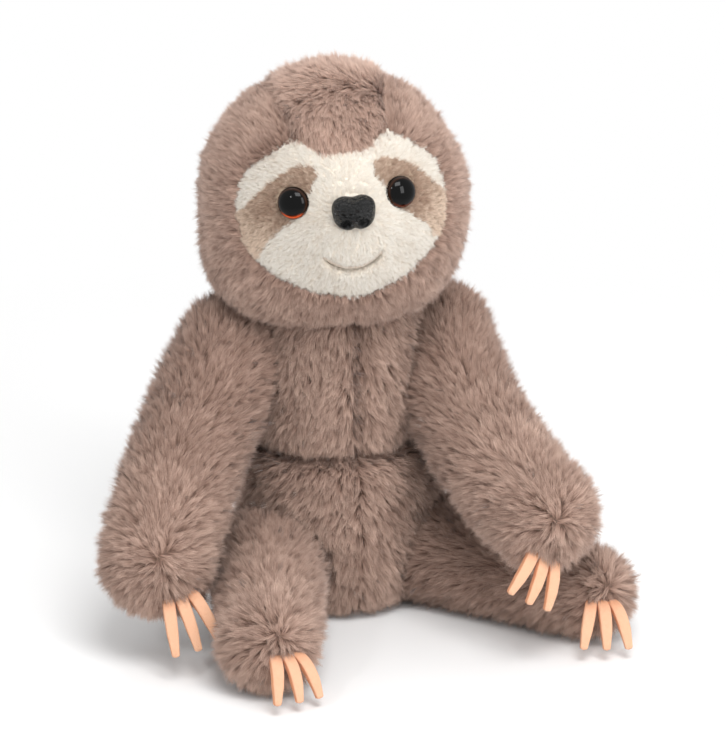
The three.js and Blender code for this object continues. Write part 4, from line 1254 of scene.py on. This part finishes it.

# %% [markdown]
# ## Eyes
# Safety eyes are domes of clear plastic over a brown iris with a black pupil; a ribbed shank goes through the cloth
# and a washer locks it behind. The dome is one turned profile, and its colours are rings round its axis, which a
# map that looks straight at the eye gives: the distance from the middle of the map is the distance from the axis.
# Low on the iris an orange glint is painted, for the light from above that comes through the dome; on the left eye it
# is faint.

# %% Eyes
def turned_form(profile, origin, aim):
    """A profile of radius and height carried round an axis: a runs along the profile, b round."""
    profile = np.array(profile, float)
    aim = unit(np.array(aim, float))
    first = unit(np.cross(aim, [0.0, 0.0, 1.0] if abs(aim[2]) < 0.9 else [1.0, 0.0, 0.0]))
    second = np.cross(aim, first)
    length = lengths_along(profile)

    def formula(a, b):
        far = a * length[-1]
        radius, rise = np.interp(far, length, profile[:, 0]), np.interp(far, length, profile[:, 1])
        return origin + rise[..., None] * aim + radius[..., None] * round_way(b, first, second)

    return formula


EYE_RIM, SHANK_LONG, SHANK_RADIUS = 0.35, 11, 2.2  # height of the dome's rim over its flat back, and the shank
EYE_GLINT = {"left": ("eye_plastic_faint_glint_painted", 0.12), "right": ("eye_plastic_glint_painted", 1.0)}  # material, share of the painted glint


def eye_profile():
    """Shank, flat back, a small rounded rim and an elliptic dome."""
    turn = np.linspace(0, math.pi / 2, 26)
    dome = np.stack([EYE_RADIUS * np.cos(turn), EYE_RIM + (EYE_DOME - EYE_RIM) * np.sin(turn)], axis=1)
    shank = [[0, -SHANK_LONG], [SHANK_RADIUS - 0.1, -SHANK_LONG], [SHANK_RADIUS, -0.6], [SHANK_RADIUS, 0]]
    back = shank + [[EYE_RADIUS - 0.3, 0], [EYE_RADIUS - 0.06, 0.12]]
    return np.concatenate([back, dome])


IRIS = [
    (0.0, (0.001, 0.001, 0.001)), (0.78, (0.001, 0.001, 0.001)), (0.83, (0.010, 0.004, 0.002)),
    (0.89, (0.035, 0.014, 0.007)), (0.94, (0.012, 0.006, 0.004)), (1.0, (0.003, 0.002, 0.002)),
]
# A painted glint: the orange light from above that comes through the dome, low on the iris.
PAINTED_GLINT_STOPS = [
    (0.0, (0.002, 0.002, 0.002)), (0.72, (0.006, 0.002, 0.002)), (0.79, (0.22, 0.03, 0.008)),
    (0.86, (0.75, 0.10, 0.02)), (0.93, (0.22, 0.04, 0.015)), (1.0, (0.010, 0.005, 0.003)),
]


def eye_material(name, glint_share):
    """Rings read by the distance from the middle; low down, an orange glint of light is painted on the iris, by the
    share given.
    """
    shader = Shader(name, Roughness=0.05, Specular_IOR_Level=0.15)
    across, rise = shader.own_map()
    from_middle = ((across - 0.5) ** 2 + (rise - 0.5) ** 2) ** 0.5 * 2
    plain_iris = shader.node("ShaderNodeValToRGB", {"stops": IRIS}, (from_middle,))
    iris_glint_painted = shader.node("ShaderNodeValToRGB", {"stops": PAINTED_GLINT_STOPS}, (from_middle,))
    below = ((0.24 - rise) * 9).as_share()
    shader.feed("Base Color", shader.mix(below * glint_share, plain_iris, iris_glint_painted))
    return shader.material


eye_materials = {name: eye_material(*values) for name, values in EYE_GLINT.items()}


def planar_map(piece, origin, across, rise, half):
    """Gives a piece a map that looks at it straight on: its middle at the origin, its edge at half."""
    mesh = piece.data
    places = np.empty(len(mesh.vertices) * 3, np.float32)
    mesh.vertices.foreach_get("co", places)
    corners = np.empty(len(mesh.loops), np.int32)
    mesh.loops.foreach_get("vertex_index", corners)
    away = (places.reshape(-1, 3) / MM - origin)[corners]
    flat = np.stack([away @ across, away @ rise], axis=1) / (2 * half) + 0.5
    mesh.uv_layers[MAP].data.foreach_set("uv", flat.astype(np.float32).ravel())


FACE_TOP = 1.6  # how deep under the head's form the eyes and the nose touch the face
for name, sign in SIGNS.items():
    aim = unit(EYE_AIM * [sign, 1, 1])
    seat = on_head(np.array(sign * EYE_ACROSS), np.array(EYE_UP), FACE_TOP) - EYE_SEAT * aim
    aim_toy, seat_toy = aim @ turn_head.T, on_toy(seat)
    eye = sheet_of(f"eye_{name}_dome", Surface(turned_form(eye_profile(), seat_toy, aim_toy), True), 60, 49,
                   "head", eye_materials[name], "eye_plastic")
    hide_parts(f"eye_{name}")
    across = -unit(np.cross([0.0, 0.0, 1.0], aim_toy))
    planar_map(eye, seat_toy, across, -np.cross(aim_toy, across), EYE_RADIUS)
    print(f"eye_{name} at", seat_toy.round(1).tolist())

# %% [markdown]
# ## Nose and smile
# The nose is a moulded button, wider above than below, with two soft lobes on its upper edge, two nostril dents and
# a pebbled skin. The smile is one line of thread that lies in a crease of the face.

# %% Nose and smile
NOSE_HALF_WIDTH, NOSE_HALF_HEIGHT, NOSE_DEPTH, NOSE_SEAT = 9.7, 7.3, 6.2, 1.0
NOSE_TAPER, NOSE_SQUARE = 0.2, 0.75
NOSE_BACK_SHARE, NOSE_BACK_SIZE = 0.25, 0.93  # the share of a that makes the back, and its size beside the rim's
NOSTRIL_ACROSS, NOSTRIL_DOWN, NOSTRIL_DEEP = 3.5, 3.6, 2.2
nose_seat = on_head(np.array(NOSE_ACROSS), np.array(NOSE_UP), FACE_TOP) + np.array([0.0, NOSE_SEAT, 0.0])


def nose_form(a, b):
    """Rounded trapezoid sections from the middle of the back (a = 0) over the rim to the middle of the front.

    A section's corner is the sine and cosine to a power below one; the front is domed by a quarter ellipse; the
    top edge dips in the middle, the lower one has a notch, and two dents with a raised rim are the nostrils."""
    turn = b * 2 * math.pi
    at_back = a < NOSE_BACK_SHARE
    behind = np.clip(a / NOSE_BACK_SHARE, 0, 1)
    front = np.clip((a - NOSE_BACK_SHARE) / (1 - NOSE_BACK_SHARE), 0, 1) * math.pi / 2
    swell = NOSE_BACK_SIZE + 0.07 * smooth(front / 0.35)
    size = np.where(at_back, behind * NOSE_BACK_SIZE, np.cos(front) ** 0.85 * swell)
    rise = boxy(np.sin(turn), NOSE_SQUARE) * size
    taper = 1 - NOSE_TAPER * (1 - rise) / 2
    across = boxy(np.cos(turn), NOSE_SQUARE) * size * taper * NOSE_HALF_WIDTH
    dip = 0.9 * bell(across, 2.6) * smooth((rise - 0.3) / 0.6)
    notch = 0.9 * bell(across, 1.3) * smooth((-rise - 0.3) / 0.6)
    up = rise * NOSE_HALF_HEIGHT - dip + notch
    forward = np.where(at_back, 0.0, NOSE_DEPTH * np.sin(front) ** 0.9)
    from_nostril = np.hypot((np.abs(across) - NOSTRIL_ACROSS) / 1.5, (up + NOSTRIL_DOWN) / 1.2)
    nostril = np.exp(-(from_nostril**2))
    wing = bell(from_nostril - 1.9, 0.6)
    forward = forward + (0.35 * wing - NOSTRIL_DEEP * nostril) * (front > 0)
    return on_toy(nose_seat + np.stack([across, -forward, up], axis=-1))


nose_shader = Shader("nose_plastic_pebbled", Base_Color=rgb(0.003, 0.003, 0.003), Specular_IOR_Level=0.42)
place = nose_shader.object_place()
pebble = nose_shader.node("ShaderNodeTexVoronoi", {"feature": "SMOOTH_F1"}, {"Vector": place, "Scale": 1050.0})
dust = nose_shader.node("ShaderNodeTexNoise", {}, {"Vector": place, "Scale": 2600.0, "Detail": 2.0})
nose_shader.bump(1 - pebble + dust * 0.2, 0.003, 1.0)
nose_shader.feed("Roughness", dust * 0.12 + 0.08)
nose = sheet_of("nose_button", Surface(nose_form, True), 60, 97, "head", nose_shader.material, "nose_plastic")
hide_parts("nose")


def tube_form(path, radius):
    """A round tube along a path of many points, closed by half balls: a along, b round."""
    path = np.array(path, float)
    heading = unit(np.gradient(path, axis=0))
    length = lengths_along(path)
    cap = radius * math.pi / 2
    guide = np.array([0.05, 0.02, 1.0])

    def formula(a, b):
        far = a * (length[-1] + 2 * cap) - cap
        inside = np.clip(far, 0, length[-1])
        middle = np.stack([np.interp(inside, length, path[:, i]) for i in range(3)], axis=-1)
        ahead = unit(np.stack([np.interp(inside, length, heading[:, i]) for i in range(3)], axis=-1))
        over = (far - inside) / radius
        ring = round_way(b, *section_axes(ahead, guide))
        return middle + radius * (np.sin(over)[..., None] * ahead + np.cos(over)[..., None] * ring)

    return formula


THREAD_RADIUS, THREAD_PROUD = 0.5, 0.9  # and how far its middle lies above the face's backing
STRANDS, STRAND_TURNS = 260.0, 6.2832  # radians of the strands' wave along the thread, and round it
smile_shader = Shader("smile_thread", Roughness=0.7, Sheen_Weight=0.3)
twist_map, along_map = smile_shader.own_map()
twist = along_map * STRANDS + twist_map * STRAND_TURNS
strand = smile_shader.node("ShaderNodeMath", {"operation": "SINE"}, (twist,)) * 0.5 + 0.5
smile_shader.feed("Base Color", smile_shader.mix(strand, rgb(0.56, 0.44, 0.35), rgb(0.72, 0.61, 0.51)))
smile_shader.bump(strand, 0.00015, 0.6)
smile_across = np.linspace(-SMILE_HALF, SMILE_HALF, 60)
smile_up = smile_rise(smile_across)
smile_path = on_head(smile_across, smile_up, face_inset(smile_across, smile_up) - THREAD_PROUD)
smile_tube = Surface(tube_form(on_toy(smile_path), THREAD_RADIUS), True)
smile = sheet_of("smile_thread_line", smile_tube, 120, 13, "head", smile_shader.material, "thread")
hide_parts("mouth_stitch")

# %% [markdown]
# ## Felt claws
# Three claws of peach felt are sewn into each paw. A claw is a thick strip cut square at its edges and bent over,
# so its section is a rounded rectangle that is carried along a curve; felt is matted fibre with no weave. The cut
# flanks are painted a darker orange as their shade, the faces stay paler, and the felt is more orange towards the root.

# %% Claws
CLAW_HALF_WIDTH, CLAW_HALF_THICK = 2.5, 1.55
CLAW_ROOT, CLAW_KNUCKLE, CLAW_PITCH, CLAW_SPREAD = 4.6, 5.0, 5.3, 2.6
PAWS = {
    # name: middle and radius of the sewn paw under the pile
    "arm_right": ((-84.5, -46, 34.5), 20.5),
    "arm_left": ((59, -86, 55.5), 20.5),
    "leg_right": ((-56.5, -88.5, 19.1), 19.6),
    "leg_left": ((85, -78, 19.1), 19.6),
}
CLAW_TAPER_SHARES = (0.88, 1.0, 1.0, 0.92, 0.6)
CLAW_END, CLAW_END_LONG = 0.06, 0.9  # the share of a that closes an end, and how far the end goes on
CLAW_SQUARE = 0.42
CLAWS = {
    # name: way out of the paw, way the claw droops, drop in millimetres
    "arm_right": ((0.03, -0.98, -0.13), (0.2, -0.3, -0.93), 18.0),
    "arm_left": ((-0.26, -0.82, -0.5), (-0.5, -0.12, -0.86), 14.0),
    "leg_right": ((0.2, -0.97, 0.02), (0.02, -0.3, -0.95), 15.0),
    "leg_left": ((-0.16, -0.98, 0.05), (-0.1, -0.3, -0.94), 15.0),
}


def claw_path(name, index):
    """Root, knuckle and tip of a claw: turned a little about the paw for each claw, then spread at the tip."""
    middle, paw = PAWS[name]
    aim, droop, drop = CLAWS[name]
    aim, droop = unit(np.array(aim)), unit(np.array(droop))
    side = unit(np.cross(aim, droop))
    turn = index * CLAW_PITCH / paw
    out = aim * math.cos(turn) + side * math.sin(turn)
    root = middle + out * (paw - CLAW_ROOT)
    knuckle = middle + out * (paw + CLAW_KNUCKLE)
    tip = knuckle + droop * drop + side * index * CLAW_SPREAD
    return Limb([root, knuckle, tip], (1, 1, 1), side)


def claw_form(path):
    """a runs from root to tip, with the ends closed by rounding the section down; b round the section."""

    def formula(a, b):
        along = np.clip((a - CLAW_END) / (1 - 2 * CLAW_END), 0, 1)
        taper = np.interp(along, np.linspace(0, 1, len(CLAW_TAPER_SHARES)), CLAW_TAPER_SHARES)
        close = np.sin(np.clip(np.minimum(a / CLAW_END, (1 - a) / CLAW_END), 0, 1) * math.pi / 2) ** 0.7
        past_tip, past_root = (a - (1 - CLAW_END)) / CLAW_END, (CLAW_END - a) / CLAW_END
        slide = (np.clip(past_tip, 0, 1) - np.clip(past_root, 0, 1)) * CLAW_END_LONG
        heading = path.heading(along)
        first, second = section_axes(heading, path.guide)
        turn = b * 2 * math.pi
        wide = boxy(np.cos(turn), CLAW_SQUARE) * CLAW_HALF_WIDTH * taper * close
        thick = boxy(np.sin(turn), CLAW_SQUARE) * CLAW_HALF_THICK * (0.4 + 0.6 * taper) * close
        return path.at(along) + slide[..., None] * heading + wide[..., None] * first + thick[..., None] * second

    return formula


felt_shader = Shader("claw_felt", Roughness=0.95, Sheen_Weight=0.12, Sheen_Roughness=0.4)
place = felt_shader.object_place()
round_claw, along_claw = felt_shader.own_map()
# Painted shade on the cut flanks, where the section turns to its edges.
painted_flank_shade = felt_shader.node("ShaderNodeMath", {"operation": "COSINE"}, (round_claw * (4 * math.pi),))
painted_flank_shade = (painted_flank_shade * 2.2 - 0.9).as_share()
matted = felt_shader.node("ShaderNodeTexNoise", {}, {"Vector": place, "Scale": 900.0, "Detail": 6.0, "Roughness": 0.7})
blotch = felt_shader.node("ShaderNodeTexNoise", {}, {"Vector": place, "Scale": 160.0, "Detail": 2.0})
at_root = ((0.42 - along_claw) * 3).as_share()
# The share of the darker orange: painted shade on the flanks, more towards the root, and the felt's own blotches and
# matting.
orange = (painted_flank_shade * 0.75 + at_root * 0.65 + (blotch - 0.5) * 0.5 + (matted - 0.5) * 0.5).as_share()
felt_shader.feed("Base Color", felt_shader.mix(orange, rgb(0.80, 0.455, 0.29), rgb(0.70, 0.28, 0.13)))
felt_shader.bump(matted, 0.0006, 0.8)

for name in CLAWS:
    for index in (-1, 0, 1):
        node = f"{name}_claw_{index + 2}"
        form = Surface(claw_form(claw_path(name, index)), True)
        claw = sheet_of(f"{node}_felt", form, 40, 41, name, felt_shader.material, "felt")
        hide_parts(node)
print("claws:", 3 * len(CLAWS))

# %% [markdown]
# ## What is inside
# The toy is filled with loose polyester fibre, and a small bag of beads in the belly makes it sit. None of this is
# seen, but it is what holds the cloth out, so each filling is the form of its cover a little further in.

# %% Inside
FILLING_DEPTH = 5.6
fibre_shader = Shader("stuffing_fibre", Roughness=1.0, Sheen_Weight=0.3)
place = fibre_shader.object_place()
wisps = fibre_shader.node("ShaderNodeTexNoise", {}, {"Vector": place, "Scale": 160.0, "Detail": 8.0, "Distortion": 2.0})
fibre_shader.feed("Base Color", fibre_shader.mix(wisps, rgb(0.72, 0.71, 0.69), rgb(0.88, 0.88, 0.87)))
fibre_shader.bump(wisps, 0.002, 0.8)


def head_filling_form(a, b):
    """The head's form a little further in, by its height and its turn about the upright axis."""
    polar_angle, turn = (1 - a) * math.pi, b * 2 * math.pi
    ways_out = np.stack(
        [np.sin(polar_angle) * np.cos(turn), np.sin(polar_angle) * np.sin(turn), np.cos(polar_angle)], axis=-1
    )
    return on_toy(ways_out * head_reach(ways_out, FILLING_DEPTH + 1.0)[..., None])


def inside_piece(name, node, form, body, material, slot):
    """A hidden piece, which stands for its node like any other."""
    piece = sheet_of(name, Surface(form, True), 36, 40, body, material, slot)
    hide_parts(node)


fillings = {
    "head": ("head", head_filling_form),
    "chest": ("body", body_form(WAIST_HEIGHT, BODY_HEIGHT, 90.0, 360.0, FILLING_DEPTH)),
    "belly": ("body", body_form(0.0, WAIST_HEIGHT, 90.0, 360.0, FILLING_DEPTH)),
    **{name: (name, limb.form(FILLING_DEPTH)) for name, limb in limbs.items()},
}
for name, (body, form) in fillings.items():
    inside_piece(f"{name}_filling_fibre", f"{name}_filling", form, body, fibre_shader.material, "stuffing")
print("fillings:", ", ".join(fillings))

bead_shader = Shader("bead_bag_cloth", Roughness=0.9)
place = bead_shader.object_place()
beads = bead_shader.node("ShaderNodeTexVoronoi", {"feature": "SMOOTH_F1"}, {"Vector": place, "Scale": 330.0})
bead_shader.feed("Base Color", bead_shader.mix(beads, rgb(0.70, 0.66, 0.57), rgb(0.55, 0.51, 0.43)))
bead_shader.bump(1 - beads, 0.001, 0.7)
BEAD_BAG_RADIUS, BEAD_BAG_HEIGHT, BEAD_BAG_BACK, BEAD_BAG_FLOOR = 14.5, 15.0, 12.5, 6.6
turn = np.linspace(-math.pi / 2, math.pi / 2, 20)
bag_profile = np.stack(
    [BEAD_BAG_RADIUS * np.cos(turn) ** 0.6, BEAD_BAG_HEIGHT / 2 * (1 + np.sin(turn))], axis=1
)
bag_form = turned_form(bag_profile, np.array([0.0, BEAD_BAG_BACK, BEAD_BAG_FLOOR]), (0, 0, 1))
inside_piece("bead_bag_pillow", "bead_bag", bag_form, "body", bead_shader.material, "bead_cloth")

washer_shader = Shader("washer_plastic_moulded", Base_Color=rgb(0.80, 0.80, 0.78), Roughness=0.4)
place = washer_shader.object_place()
grain = washer_shader.node("ShaderNodeTexNoise", {}, {"Vector": place, "Scale": 700.0, "Detail": 2.0})
washer_shader.feed("Roughness", grain * 0.2 + 0.3)
washer_shader.bump(grain, 0.0002, 0.3)
for name in ("eye_washer_left", "eye_washer_right", "nose_washer"):
    for material_slot in frame["nodes"][name].material_slots:
        material_slot.material = washer_shader.material
